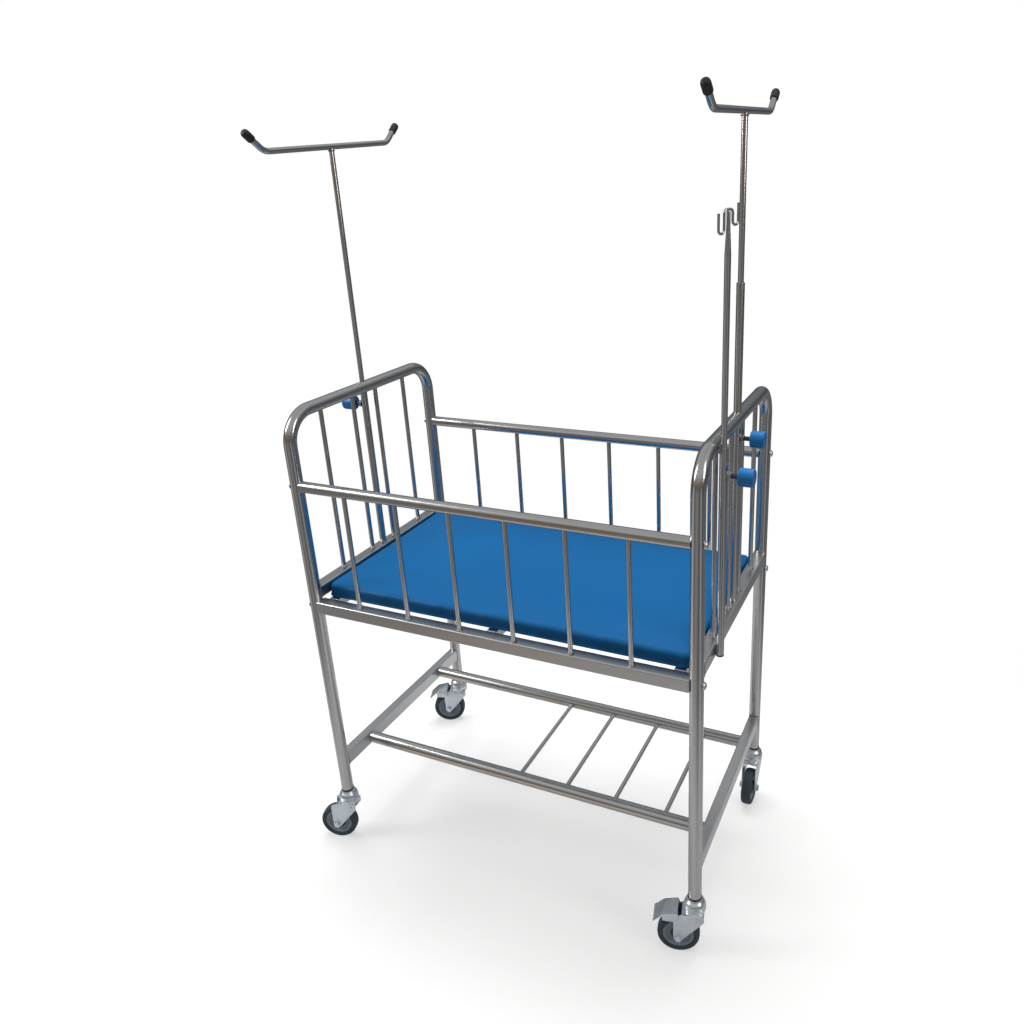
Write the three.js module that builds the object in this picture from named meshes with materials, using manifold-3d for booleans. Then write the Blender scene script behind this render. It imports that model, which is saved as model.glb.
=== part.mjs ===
// Hospital bassinet: a stainless tube crib on four swivel casters, with a thin mattress, a low tube
// shelf and three sliding drip poles held by clamp knobs.
// Millimetres, +Z up, +X along the bed, the front long side faces -Y, origin on the floor under the middle.
import * as THREE from 'three';
import { mergeVertices } from 'three/addons/utils/BufferGeometryUtils.js';
import Module from 'manifold-3d';

const wasm = await Module();
wasm.setup();

// Fits
const SEAT_GAP = 0.3; // between pieces that are welded, seated or clamped on each other
const PIN_PLAY = 0.3; // radial play round a pin, bolt or stud
const POLE_PLAY = 0.5; // radial play of a pole in its socket

// End frames: legs and top are one bent tube
const LEG_SPAN_X = 800;
const LEG_SPAN_Y = 460;
const LEG_D = 25;
const LEG_WALL = 1.2;
const ARCH_AXIS_Z = 986;
const ARCH_BEND_R = 60;

// Square bed rails, top rails and upright rods
const RAIL_SIDE = 25;
const RAIL_WALL = 1.5;
const SIDE_RAIL_TOP_Z = 602;
const END_RAIL_STEP = 3; // the end rail's underside stands this far above the side rail's top
const ROD_D = 9;
const SIDE_ROD_COUNT = 6;
const SIDE_ROD_OUTSET = 5; // the side rods stand outside the leg plane
const END_ROD_PITCH = 98;
const END_ROD_INNER_Y = 38;
const TOP_RAIL_D = 22;
const TOP_RAIL_WALL = 1.2;
const TOP_RAIL_AXIS_Z = 847;

// Low end rails and shelf
const LOW_RAIL_W = 20;
const LOW_RAIL_H = 30;
const LOW_RAIL_AXIS_Z = 205;
const SHELF_TUBE_D = 25;
const SHELF_TUBE_SPAN_Y = 280;
const SHELF_ROD_COUNT = 4;
const SHELF_ROD_FIRST_X = -13;
const SHELF_ROD_PITCH = 107;

// Bolts through the legs into the side rails
const BOLT_D = 8;
const BOLT_HEAD_D = 14;
const BOLT_HEAD_H = 5;
const BOLT_GRIP = 22; // thread length inside the rail end
const PLUG_L = 30; // solid end of a rail that takes the bolt

// Bed deck and mattress
const SLAT_SIDE = 20;
const SLAT_END_INSET = 34; // from the leg axis to the end slat
const DECK_T = 2;
const DECK_END_INSET = 20;
const DECK_SIDE_INSET = 35;
const MATTRESS_END_GAP = 1;
const MATTRESS_SIDE_GAP = 9;
const MATTRESS_EDGE_H = 26;
const MATTRESS_CROWN = 3.5;
const MATTRESS_TOP_R = 9;
const MATTRESS_BASE_R = 4;
const MATTRESS_CORNER_R = 16;
const MATTRESS_DRAW = 2; // how far the sides draw in between the corners

// Drip poles
const POLE_D = 10;
const SOCKET_D = 14;
const T_BAR_D = 11;
const T_POLE_L = 617;
const T_POLE_LEFT_Z = 1457;
const T_POLE_RIGHT_Z = 1477;
const T_BEND_Y = 177;
const T_TIP_RUN = 35;
const T_TIP_RISE = 29;
const T_BEND_R = 20;
const T_LEAN_LEFT = 2.5; // degrees the cross bar dips towards the front
const T_LEAN_RIGHT = 1.2;
const CAP_D = 15;
const CAP_L = 22;
const CAP_GRIP = 15;
const RIGHT_SOCKET_TOP_Z = 1217;
const HOOK_SOCKET_INSET = 70; // from the front leg's axis
const HOOK_SOCKET_DROP = 18; // below the end rail's top
const PLUG_FLANGE_T = 3;
const HOOK_POLE_L = 549;
const HOOK_POLE_TOP_Z = 1339;
const HOOK_TAPER_L = 40;
const HOOK_TIP_D = 6;
const HOOK_TIP_L = 21;
const HOOK_WIRE_D = 4;
const HOOK_U_PITCH = 28;
const HOOK_U_W = 11;
const HOOK_FRONT_DEPTH = 33; // below the arch between the two hooks
const HOOK_REAR_DEPTH = 22;
const HOOK_FRONT_TIP_RISE = -5; // from the arch's height
const HOOK_REAR_TIP_RISE = 8;
const HOOK_TURN = 60 * Math.PI / 180; // from the X axis

// Clamp knobs
const KNOB_D = 30;
const KNOB_L = 25;
const KNOB_STANDOFF = 25; // from the socket axis to the knob's inner face
const KNOB_DROP = 36; // under the arch axis
const HOOK_KNOB_DROP = 47;
const STUD_D = 8;
const NUT_AF = 13;
const NUT_REACH = 13; // from the socket axis to the nut's outer face

// Casters
const WHEEL_D = 80;
const TYRE_W = 22;
const TYRE_T = 10;
const WEB_W = 10;
const TRAIL = 30;
const FORK_GAP = 28;
const FORK_T = 2.5;
const CROWN_CLEARANCE = 13;
const CROWN_T = 3;
const RACE_D = 38;
const RACE_H = 8;
const KING_PIN_D = 10;
const CUP_D = 42;
const CUP_H = 24;
const STEM_PLUG_L = 25;
const AXLE_D = 8;
const NUT_D = 14;
const NUT_H = 5;
const PEDAL_T = 2;
const PEDAL_PIN_D = 6;

// Facet counts round the sections
const TUBE_SIDES = 12;
const ROD_SIDES = 8;
const POLE_SIDES = 10;
const ROUND_SIDES = 16;
const WHEEL_SIDES = 24;
const BEND_STEPS = 4;

// Values that follow from the sizes above
const legX = LEG_SPAN_X / 2;
const legY = LEG_SPAN_Y / 2;
const legR = LEG_D / 2;
const railHalf = RAIL_SIDE / 2;
const rodR = ROD_D / 2;
const sideRailAxisZ = SIDE_RAIL_TOP_Z - railHalf;
const endRailAxisZ = SIDE_RAIL_TOP_Z + END_RAIL_STEP + railHalf;
const endRailTopZ = endRailAxisZ + railHalf;
const poleR = POLE_D / 2;
const socketR = SOCKET_D / 2;
const socketBoreR = poleR + POLE_PLAY;
const hookSocketX = legX + Math.max(legR, railHalf) + socketR + SEAT_GAP;
const hookSocketY = HOOK_SOCKET_INSET - legY;
const deckTopZ = SIDE_RAIL_TOP_Z + DECK_T;
const wheelR = WHEEL_D / 2;
const crownZ = WHEEL_D + CROWN_CLEARANCE;
const crownTopZ = crownZ + CROWN_T;
const raceTopZ = crownTopZ + RACE_H;
const legFootZ = raceTopZ + CUP_H;
const forkOuter = FORK_GAP / 2 + FORK_T;

// Materials
function material(color, roughness, metalness) {
  return new THREE.MeshStandardMaterial({ color, roughness, metalness });
}
const polished = material(0xc9cccf, 0.18, 1);
const satin = material(0xa9adb1, 0.38, 1);
const zinc = material(0xb4bbc2, 0.3, 1);
const blueVinyl = material(0x0a5cb4, 0.3, 0);
const bluePlastic = material(0x0f6cc4, 0.4, 0);
const blackRubber = material(0x121315, 0.6, 0);
const tyreRubber = material(0x23272d, 0.7, 0);
const hubPlastic = material(0x8d9298, 0.5, 0);

// Solids
function solid(geometry) {
  const bare = geometry.index ? geometry.toNonIndexed() : geometry.clone();
  bare.deleteAttribute('normal');
  bare.deleteAttribute('uv');
  const welded = mergeVertices(bare, 1e-4);
  const mesh = new wasm.Mesh({
    numProp: 3,
    vertProperties: new Float32Array(welded.attributes.position.array),
    triVerts: new Uint32Array(welded.index.array),
  });
  mesh.merge();
  return new wasm.Manifold(mesh);
}

function geometryOf(body) {
  const mesh = body.getMesh();
  const geometry = new THREE.BufferGeometry();
  geometry.setAttribute('position', new THREE.BufferAttribute(new Float32Array(mesh.vertProperties), 3));
  geometry.setIndex(new THREE.BufferAttribute(new Uint32Array(mesh.triVerts), 1));
  geometry.computeVertexNormals();
  return geometry;
}

function block(x0, x1, y0, y1, z0, z1) {
  const box = new THREE.BoxGeometry(x1 - x0, y1 - y0, z1 - z0);
  box.translate((x0 + x1) / 2, (y0 + y1) / 2, (z0 + z1) / 2);
  return solid(box);
}

// Turns a shape standing along Y so that it stands along the named axis.
function standAlong(geometry, axis) {
  if (axis === 'x') {
    geometry.rotateZ(-Math.PI / 2);
  }
  if (axis === 'z') {
    geometry.rotateX(Math.PI / 2);
  }
  return geometry;
}

// Round bar along an axis from one coordinate to another, through the given centre.
function bar(axis, radius, from, to, centre, sides) {
  const rod = standAlong(new THREE.CylinderGeometry(radius, radius, to - from, sides), axis);
  const middle = new THREE.Vector3(...centre);
  middle[axis] = (from + to) / 2;
  rod.translate(middle.x, middle.y, middle.z);
  return solid(rod);
}

// Body of revolution about the named axis from [radius, height] pairs.
function turned(axis, profile, sides, halfStep) {
  const points = profile.map(([r, h]) => new THREE.Vector2(r, h));
  const start = halfStep ? Math.PI / sides : 0;
  return solid(standAlong(new THREE.LatheGeometry(points, sides, start), axis));
}

// Flat plate cut to an outline in the XZ plane, between two Y values.
function plate(shape, y0, y1) {
  const geometry = new THREE.ExtrudeGeometry(shape, { depth: y1 - y0, bevelEnabled: false, curveSegments: 6 });
  geometry.rotateX(Math.PI / 2);
  geometry.translate(0, y1, 0);
  return solid(geometry);
}

// Path through listed stations, each with its own direction.
class StationPath extends THREE.Curve {
  constructor(stations) {
    super();
    this.stations = stations;
  }

  station(t) {
    return this.stations[Math.round(t * (this.stations.length - 1))];
  }

  getPoint(t, target = new THREE.Vector3()) {
    return target.copy(this.station(t).point);
  }

  getPointAt(t, target) {
    return this.getPoint(t, target);
  }

  getTangentAt(t, target = new THREE.Vector3()) {
    return target.copy(this.station(t).tangent);
  }
}

// Stations along straight runs joined by round bends.
function bentPath(corners, radius, steps) {
  const first = corners[0];
  const last = corners[corners.length - 1];
  const directions = [];
  for (let i = 0; i + 1 < corners.length; i += 1) {
    directions.push(corners[i + 1].clone().sub(corners[i]).normalize());
  }
  const stations = [{ point: first.clone(), tangent: directions[0] }];
  for (let i = 1; i + 1 < corners.length; i += 1) {
    const into = directions[i - 1];
    const out = directions[i];
    const angle = into.angleTo(out);
    const inward = out.clone().sub(into).normalize();
    const centre = corners[i].clone().addScaledVector(inward, radius / Math.cos(angle / 2));
    const start = corners[i].clone().addScaledVector(into, -radius * Math.tan(angle / 2)).sub(centre);
    for (let k = 0; k <= steps; k += 1) {
      const a = angle * k / steps;
      const point = centre.clone().addScaledVector(start, Math.cos(a)).addScaledVector(into, radius * Math.sin(a));
      const tangent = into.clone().multiplyScalar(Math.cos(a)).addScaledVector(start, -Math.sin(a) / radius);
      stations.push({ point, tangent });
    }
  }
  stations.push({ point: last.clone(), tangent: directions[directions.length - 1] });
  return new StationPath(stations);
}

function ring(radius, sides) {
  const points = [];
  for (let i = 0; i < sides; i += 1) {
    const a = 2 * Math.PI * i / sides;
    points.push(new THREE.Vector2(radius * Math.cos(a), radius * Math.sin(a)));
  }
  return points;
}

function bentBar(path, radius, boreR, sides) {
  const section = new THREE.Shape(ring(radius, sides));
  if (boreR > 0) {
    section.holes.push(new THREE.Path(ring(boreR, sides)));
  }
  const steps = path.stations.length - 1;
  return solid(new THREE.ExtrudeGeometry(section, { steps, extrudePath: path, bevelEnabled: false }));
}

// The assembly
const bassinet = new THREE.Group();
bassinet.name = 'bassinet';

function add(parent, name, body, finish) {
  const mesh = new THREE.Mesh(geometryOf(body), finish);
  mesh.name = name;
  parent.add(mesh);
  return mesh;
}

const ends = [{ name: 'left', sx: -1 }, { name: 'right', sx: 1 }];
const sides = [{ name: 'front', sy: -1 }, { name: 'rear', sy: 1 }];

// Room a leg needs where a rail is saddle-cut against it.
function legCutter(sx, sy) {
  return bar('z', legR + SEAT_GAP, 0, ARCH_AXIS_Z, [sx * legX, sy * legY, 0], TUBE_SIDES);
}

function cutByLegs(body, sx) {
  return body.subtract(legCutter(sx, -1)).subtract(legCutter(sx, 1));
}

// End arch with bolt holes and the opening for the pole or its socket.
function endArch(sx) {
  const x = sx * legX;
  const corners = [
    new THREE.Vector3(x, -legY, legFootZ),
    new THREE.Vector3(x, -legY, ARCH_AXIS_Z),
    new THREE.Vector3(x, legY, ARCH_AXIS_Z),
    new THREE.Vector3(x, legY, legFootZ),
  ];
  let tube = bentBar(bentPath(corners, ARCH_BEND_R, BEND_STEPS), legR, legR - LEG_WALL, TUBE_SIDES);
  for (const sy of [-1, 1]) {
    for (const z of [TOP_RAIL_AXIS_Z, sideRailAxisZ]) {
      const hole = bar('x', BOLT_D / 2 + PIN_PLAY, x - LEG_D, x + LEG_D, [0, sy * legY, z], POLE_SIDES);
      tube = tube.subtract(hole);
    }
  }
  const throughR = sx < 0 ? socketBoreR : socketR + SEAT_GAP;
  return tube.subtract(bar('z', throughR, ARCH_AXIS_Z - LEG_D, ARCH_AXIS_Z + LEG_D, [x, 0, 0], POLE_SIDES));
}

// Square bed rail with four rods up to the arch, welded together.
function endGrille(sx) {
  const x = sx * legX;
  const z0 = endRailAxisZ - railHalf;
  const inner = railHalf - RAIL_WALL;
  const bore = block(x - inner, x + inner, -legY - 1, legY + 1, endRailAxisZ - inner, endRailAxisZ + inner);
  let grille = block(x - railHalf, x + railHalf, -legY, legY, z0, endRailTopZ).subtract(bore);
  for (const k of [0, 1]) {
    for (const sy of [-1, 1]) {
      const y = sy * (END_ROD_INNER_Y + k * END_ROD_PITCH);
      grille = grille.add(bar('z', rodR, endRailTopZ - RAIL_WALL / 2, ARCH_AXIS_Z, [x, y, 0], ROD_SIDES));
    }
  }
  const archRoom = bar('y', legR + SEAT_GAP, -legY, legY, [x, 0, ARCH_AXIS_Z], TUBE_SIDES);
  return cutByLegs(grille, sx).subtract(archRoom);
}

// Rectangular tube between the legs that carries the shelf.
function lowRail(sx) {
  const x = sx * legX;
  const halfW = LOW_RAIL_W / 2;
  const halfH = LOW_RAIL_H / 2;
  const w = halfW - RAIL_WALL;
  const h = halfH - RAIL_WALL;
  const bore = block(x - w, x + w, -legY - 1, legY + 1, LOW_RAIL_AXIS_Z - h, LOW_RAIL_AXIS_Z + h);
  const rail = block(x - halfW, x + halfW, -legY, legY, LOW_RAIL_AXIS_Z - halfH, LOW_RAIL_AXIS_Z + halfH);
  return cutByLegs(rail.subtract(bore), sx);
}

// Opens a rail between its solid ends and drills the ends for the bolts.
function boltHole(sy, z) {
  return bar('x', BOLT_D / 2 + PIN_PLAY, -legX, legX, [0, sy * legY, z], POLE_SIDES);
}

function topRail(sy) {
  const y = sy * legY;
  const reach = legX - legR - PLUG_L;
  const rail = bar('x', TOP_RAIL_D / 2, -legX, legX, [0, y, TOP_RAIL_AXIS_Z], TUBE_SIDES);
  const bore = bar('x', TOP_RAIL_D / 2 - TOP_RAIL_WALL, -reach, reach, [0, y, TOP_RAIL_AXIS_Z], TUBE_SIDES);
  const open = rail.subtract(bore).subtract(boltHole(sy, TOP_RAIL_AXIS_Z));
  return open.subtract(legCutter(-1, sy)).subtract(legCutter(1, sy));
}

// Square rail with six rods up to the top rail, welded together.
function sideGrille(sy) {
  const y = sy * legY;
  const reach = legX - legR - PLUG_L;
  const inner = railHalf - RAIL_WALL;
  const z0 = SIDE_RAIL_TOP_Z - RAIL_SIDE;
  const bore = block(-reach, reach, y - inner, y + inner, sideRailAxisZ - inner, sideRailAxisZ + inner);
  let grille = block(-legX, legX, y - railHalf, y + railHalf, z0, SIDE_RAIL_TOP_Z).subtract(bore);
  const pitch = LEG_SPAN_X / (SIDE_ROD_COUNT + 1);
  for (let i = 1; i <= SIDE_ROD_COUNT; i += 1) {
    const centre = [-legX + i * pitch, y + sy * SIDE_ROD_OUTSET, 0];
    grille = grille.add(bar('z', rodR, SIDE_RAIL_TOP_Z - RAIL_WALL / 2, TOP_RAIL_AXIS_Z, centre, ROD_SIDES));
  }
  const railRoom = bar('x', TOP_RAIL_D / 2 + SEAT_GAP, -legX, legX, [0, y, TOP_RAIL_AXIS_Z], TUBE_SIDES);
  const cut = grille.subtract(railRoom).subtract(boltHole(sy, sideRailAxisZ));
  return cut.subtract(legCutter(-1, sy)).subtract(legCutter(1, sy));
}

// Shelf: two round tubes between the low rails, cross rods over one half.
function shelfRack() {
  const reach = legX - LOW_RAIL_W / 2 - SEAT_GAP;
  const tubeR = SHELF_TUBE_D / 2;
  const tubeY = SHELF_TUBE_SPAN_Y / 2;
  let rack = null;
  for (const sy of [-1, 1]) {
    const tube = bar('x', tubeR, -reach, reach, [0, sy * tubeY, LOW_RAIL_AXIS_Z], TUBE_SIDES);
    rack = rack ? rack.add(tube) : tube;
  }
  for (let i = 0; i < SHELF_ROD_COUNT; i += 1) {
    const x = SHELF_ROD_FIRST_X + i * SHELF_ROD_PITCH;
    rack = rack.add(bar('y', rodR, -tubeY, tubeY, [x, 0, LOW_RAIL_AXIS_Z], ROD_SIDES));
  }
  for (const sy of [-1, 1]) {
    const bore = bar('x', tubeR - LEG_WALL, -legX, legX, [0, sy * tubeY, LOW_RAIL_AXIS_Z], TUBE_SIDES);
    rack = rack.subtract(bore);
  }
  return rack;
}

// Button-head bolt along X, head outside the leg.
function railBolt() {
  const r = BOLT_D / 2;
  const headR = BOLT_HEAD_D / 2;
  const seat = legR + SEAT_GAP;
  const tip = -(legR + BOLT_GRIP);
  return turned('x', [
    [0, tip],
    [r, tip],
    [r, seat],
    [headR, seat],
    [headR, seat + BOLT_HEAD_H * 0.4],
    [headR * 0.7, seat + BOLT_HEAD_H * 0.85],
    [0, seat + BOLT_HEAD_H],
  ], POLE_SIDES);
}

// Sheet deck on three cross slats between the side rails.
function bedDeck() {
  const slatReach = legY - railHalf - SEAT_GAP;
  const deckX = legX - DECK_END_INSET;
  const deckY = legY - DECK_SIDE_INSET;
  const half = SLAT_SIDE / 2;
  let deck = block(-deckX, deckX, -deckY, deckY, SIDE_RAIL_TOP_Z - 0.5, deckTopZ);
  const slatX = legX - SLAT_END_INSET;
  for (const x of [-slatX, 0, slatX]) {
    const z0 = SIDE_RAIL_TOP_Z - SLAT_SIDE;
    deck = deck.add(block(x - half, x + half, -slatReach, slatReach, z0, SIDE_RAIL_TOP_Z));
  }
  return deck;
}

// Rounded rectangle in plan: the outline point for a direction given on the unit square.
function padOutline(u, v, hx, hy, r) {
  const x = u * hx;
  const y = v * hy;
  const cx = THREE.MathUtils.clamp(x, r - hx, hx - r);
  const cy = THREE.MathUtils.clamp(y, r - hy, hy - r);
  const reach = Math.hypot(x - cx, y - cy);
  const k = reach > r ? r / reach : 1;
  return [cx + (x - cx) * k, cy + (y - cy) * k];
}

// Thin pad: rounded edges, slightly crowned top, sides drawn in between the corners.
function mattressGeometry() {
  const hx = legX - railHalf - MATTRESS_END_GAP;
  const hy = legY - railHalf - MATTRESS_SIDE_GAP;
  const pad = new THREE.BoxGeometry(2, 2, 2, 14, 8, 6);
  const position = pad.attributes.position;
  const spread = (t) => Math.sign(t) * (1 - (1 - Math.abs(t)) ** 1.5);
  for (let i = 0; i < position.count; i += 1) {
    const p = new THREE.Vector3().fromBufferAttribute(position, i);
    const edgeR = p.z > 0 ? MATTRESS_TOP_R : MATTRESS_BASE_R;
    const bend = Math.max(0, (Math.abs(p.z) - 1 / 3) * 1.5) * Math.PI / 2;
    const inset = edgeR * (1 - Math.cos(bend));
    const drop = edgeR * (1 - Math.sin(bend));
    const t = Math.max(Math.abs(spread(p.x)), Math.abs(spread(p.y)), 1e-6);
    const corner = Math.max(MATTRESS_CORNER_R - inset, 1);
    const [ox, oy] = padOutline(spread(p.x) / t, spread(p.y) / t, hx - inset, hy - inset, corner);
    const u = ox * t / hx;
    const v = oy * t / hy;
    const x = ox * t * (1 - MATTRESS_DRAW / hx * Math.cos(v * Math.PI / 2));
    const y = oy * t * (1 - MATTRESS_DRAW / hy * Math.cos(u * Math.PI / 2));
    const crown = MATTRESS_CROWN * (1 - u ** 4) * (1 - v ** 4);
    const z = p.z > 0 ? MATTRESS_EDGE_H - drop + crown * Math.sin(bend) : drop;
    position.setXYZ(i, x, y, Math.abs(p.z) < 0.2 ? MATTRESS_EDGE_H / 2 : z);
  }
  pad.translate(0, 0, deckTopZ + SEAT_GAP);
  return pad;
}

// Point of a cross bar that leans about its middle, which lies at the given height.
function barPoint(x, y, rise, topZ, lean) {
  const point = new THREE.Vector3(0, y, rise);
  point.applyAxisAngle(new THREE.Vector3(1, 0, 0), lean);
  return point.add(new THREE.Vector3(x, 0, topZ));
}

// Upright pole with a cross bar on top, its ends bent up.
function tPole(sx, topZ, lean) {
  const x = sx * legX;
  const tipY = T_BEND_Y + T_TIP_RUN;
  const corners = [
    barPoint(x, -tipY, T_TIP_RISE, topZ, lean),
    barPoint(x, -T_BEND_Y, 0, topZ, lean),
    barPoint(x, T_BEND_Y, 0, topZ, lean),
    barPoint(x, tipY, T_TIP_RISE, topZ, lean),
  ];
  const crossBar = bentBar(bentPath(corners, T_BEND_R, 3), T_BAR_D / 2, 0, POLE_SIDES);
  return crossBar.add(bar('z', poleR, topZ - T_POLE_L, topZ, [x, 0, 0], POLE_SIDES));
}

// Rubber tip pushed over the bar's end; stands along Y with its mouth at zero.
function tipCap() {
  const r = CAP_D / 2;
  const cap = turned('y', [
    [0, 0],
    [r - 0.5, 0],
    [r, 2],
    [r, CAP_L - 5],
    [r * 0.75, CAP_L - 1.2],
    [0, CAP_L],
  ], POLE_SIDES);
  return cap.subtract(bar('y', T_BAR_D / 2 + SEAT_GAP, -1, CAP_GRIP, [0, 0, 0], POLE_SIDES));
}

// Welded nut on a socket, and the threaded hole through it.
function withNut(socket, x, y, z, sx) {
  const across = NUT_AF / Math.sqrt(3);
  const root = x + sx * (socketR - 0.7);
  const face = x + sx * NUT_REACH;
  const nut = bar('x', across, Math.min(root, face), Math.max(root, face), [0, y, z], 6);
  const end = x + sx * (NUT_REACH + 1);
  const hole = bar('x', STUD_D / 2 + PIN_PLAY, Math.min(x, end), Math.max(x, end), [0, y, z], POLE_SIDES);
  const bore = bar('z', socketBoreR, z - NUT_AF, z + NUT_AF, [x, y, 0], POLE_SIDES);
  return socket.add(nut).subtract(bore).subtract(hole);
}

function socketTube(x, y, z0, z1) {
  const bore = bar('z', socketBoreR, z0 - 1, z1 + 1, [x, y, 0], POLE_SIDES);
  return bar('z', socketR, z0, z1, [x, y, 0], POLE_SIDES).subtract(bore);
}

// Middle sockets stand on the end rails: the left one stops under the arch, the right one goes through it.
function endSocket(sx) {
  const x = sx * legX;
  const topZ = sx < 0 ? ARCH_AXIS_Z : RIGHT_SOCKET_TOP_Z;
  let socket = socketTube(x, 0, endRailTopZ + SEAT_GAP, topZ);
  if (sx < 0) {
    socket = socket.subtract(bar('y', legR + SEAT_GAP, -LEG_D, LEG_D, [x, 0, ARCH_AXIS_Z], TUBE_SIDES));
  }
  return withNut(socket, x, 0, ARCH_AXIS_Z - KNOB_DROP, sx);
}

function hookSocket() {
  const tube = socketTube(hookSocketX, hookSocketY, endRailTopZ - HOOK_SOCKET_DROP, ARCH_AXIS_Z);
  return withNut(tube, hookSocketX, hookSocketY, ARCH_AXIS_Z - HOOK_KNOB_DROP, 1);
}

function hookSocketPlug() {
  const z = endRailTopZ - HOOK_SOCKET_DROP - SEAT_GAP;
  const r = socketBoreR - SEAT_GAP;
  const plug = turned('z', [
    [0, -PLUG_FLANGE_T],
    [socketR * 0.8, -PLUG_FLANGE_T],
    [socketR, -PLUG_FLANGE_T * 0.5],
    [socketR, 0],
    [r, 0],
    [r, 12],
    [0, 12],
  ], POLE_SIDES);
  return plug.translate([hookSocketX, hookSocketY, z]);
}

// Pole for the wire hook: full section, then a taper to a thin tip.
function hookPole() {
  const shoulderZ = HOOK_POLE_TOP_Z - HOOK_TIP_L - HOOK_TAPER_L;
  const tipR = HOOK_TIP_D / 2;
  const pole = turned('z', [
    [0, HOOK_POLE_TOP_Z - HOOK_POLE_L],
    [poleR, HOOK_POLE_TOP_Z - HOOK_POLE_L],
    [poleR, shoulderZ],
    [tipR, shoulderZ + HOOK_TAPER_L],
    [tipR, HOOK_POLE_TOP_Z],
    [0, HOOK_POLE_TOP_Z],
  ], POLE_SIDES);
  return pole.translate([hookSocketX, hookSocketY, 0]);
}

// Wire double hook: two open loops hanging either side of a middle arch over the pole's tip.
function wireHook() {
  const archZ = HOOK_POLE_TOP_Z + HOOK_WIRE_D / 2 + SEAT_GAP;
  const frontZ = archZ - HOOK_FRONT_DEPTH;
  const rearZ = archZ - HOOK_REAR_DEPTH;
  const near = HOOK_U_PITCH / 2 - HOOK_U_W / 2;
  const far = HOOK_U_PITCH / 2 + HOOK_U_W / 2;
  const outline = [
    [-far, archZ + HOOK_FRONT_TIP_RISE],
    [-far, frontZ],
    [-near, frontZ],
    [-near, archZ],
    [near, archZ],
    [near, rearZ],
    [far, rearZ],
    [far, archZ + HOOK_REAR_TIP_RISE],
  ];
  const corners = outline.map(([d, z]) => new THREE.Vector3(
    hookSocketX + d * Math.cos(HOOK_TURN),
    hookSocketY + d * Math.sin(HOOK_TURN),
    z,
  ));
  return bentBar(bentPath(corners, HOOK_U_W / 2 - 0.2, 3), HOOK_WIRE_D / 2, 0, 8);
}

// Knob moulded on its stud; stands along +X from the socket axis.
function clampKnob() {
  const r = KNOB_D / 2;
  const end = KNOB_STANDOFF + KNOB_L;
  return turned('x', [
    [0, poleR + SEAT_GAP],
    [STUD_D / 2, poleR + SEAT_GAP],
    [STUD_D / 2, KNOB_STANDOFF],
    [r - 2.5, KNOB_STANDOFF],
    [r, KNOB_STANDOFF + 2.5],
    [r, end - 4],
    [r - 1.3, end - 1.3],
    [r - 4, end],
    [0, end],
  ], ROUND_SIDES);
}

// Caster parts: the swivel axis is Z through the origin, the wheel trails towards -X.
function casterStem() {
  const pinR = KING_PIN_D / 2;
  const cupR = CUP_D / 2;
  const headZ = crownZ - SEAT_GAP;
  const cupZ = raceTopZ + SEAT_GAP;
  const seatZ = legFootZ - SEAT_GAP;
  const plugR = (legR - LEG_WALL) * Math.cos(Math.PI / TUBE_SIDES) - SEAT_GAP;
  const cupH = seatZ - cupZ;
  return turned('z', [
    [0, headZ - 4],
    [pinR + 3, headZ - 4],
    [pinR + 4, headZ - 3],
    [pinR + 4, headZ],
    [pinR, headZ],
    [pinR, cupZ],
    [cupR - 1, cupZ],
    [cupR, cupZ + cupH * 0.12],
    [cupR, cupZ + cupH * 0.34],
    [cupR * 0.86, cupZ + cupH * 0.68],
    [legR + 0.5, seatZ - cupH * 0.12],
    [legR, seatZ],
    [plugR, seatZ],
    [plugR, seatZ + STEM_PLUG_L],
    [0, seatZ + STEM_PLUG_L],
  ], ROUND_SIDES);
}

function casterFork() {
  const front = RACE_D / 2 - 1;
  const back = -TRAIL - 9;
  const axleZ = wheelR;
  const cheek = new THREE.Shape();
  cheek.moveTo(front, crownTopZ);
  cheek.lineTo(6 - TRAIL, crownTopZ);
  cheek.lineTo(back + 1, crownTopZ - 5.5);
  cheek.lineTo(back, crownZ - CROWN_CLEARANCE);
  cheek.lineTo(back, axleZ);
  cheek.absarc(-TRAIL, axleZ, 9, Math.PI, Math.PI * 1.78, false);
  cheek.lineTo(front, crownZ - CROWN_CLEARANCE + 2);
  cheek.closePath();
  const inner = FORK_GAP / 2;
  let fork = plate(cheek, inner, forkOuter).add(plate(cheek, -forkOuter, -inner));
  fork = fork.add(block(6 - TRAIL, front, -forkOuter, forkOuter, crownZ, crownTopZ));
  fork = fork.add(bar('z', RACE_D / 2, crownZ, raceTopZ, [0, 0, 0], ROUND_SIDES));
  fork = fork.subtract(bar('z', KING_PIN_D / 2 + PIN_PLAY, 0, legFootZ, [0, 0, 0], ROUND_SIDES));
  const across = forkOuter + 1;
  fork = fork.subtract(bar('y', AXLE_D / 2 + PIN_PLAY, -across, across, [-TRAIL, 0, axleZ], POLE_SIDES));
  const pin = [pedalPivot.x, 0, pedalPivot.z];
  return fork.subtract(bar('y', PEDAL_PIN_D / 2 + PIN_PLAY, -across, across, pin, POLE_SIDES));
}

// The wheel's facets stand flat on the floor, so its radii are taken to the middle of a facet.
const facet = 1 / Math.cos(Math.PI / WHEEL_SIDES);
const rimR = wheelR - TYRE_T;

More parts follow.
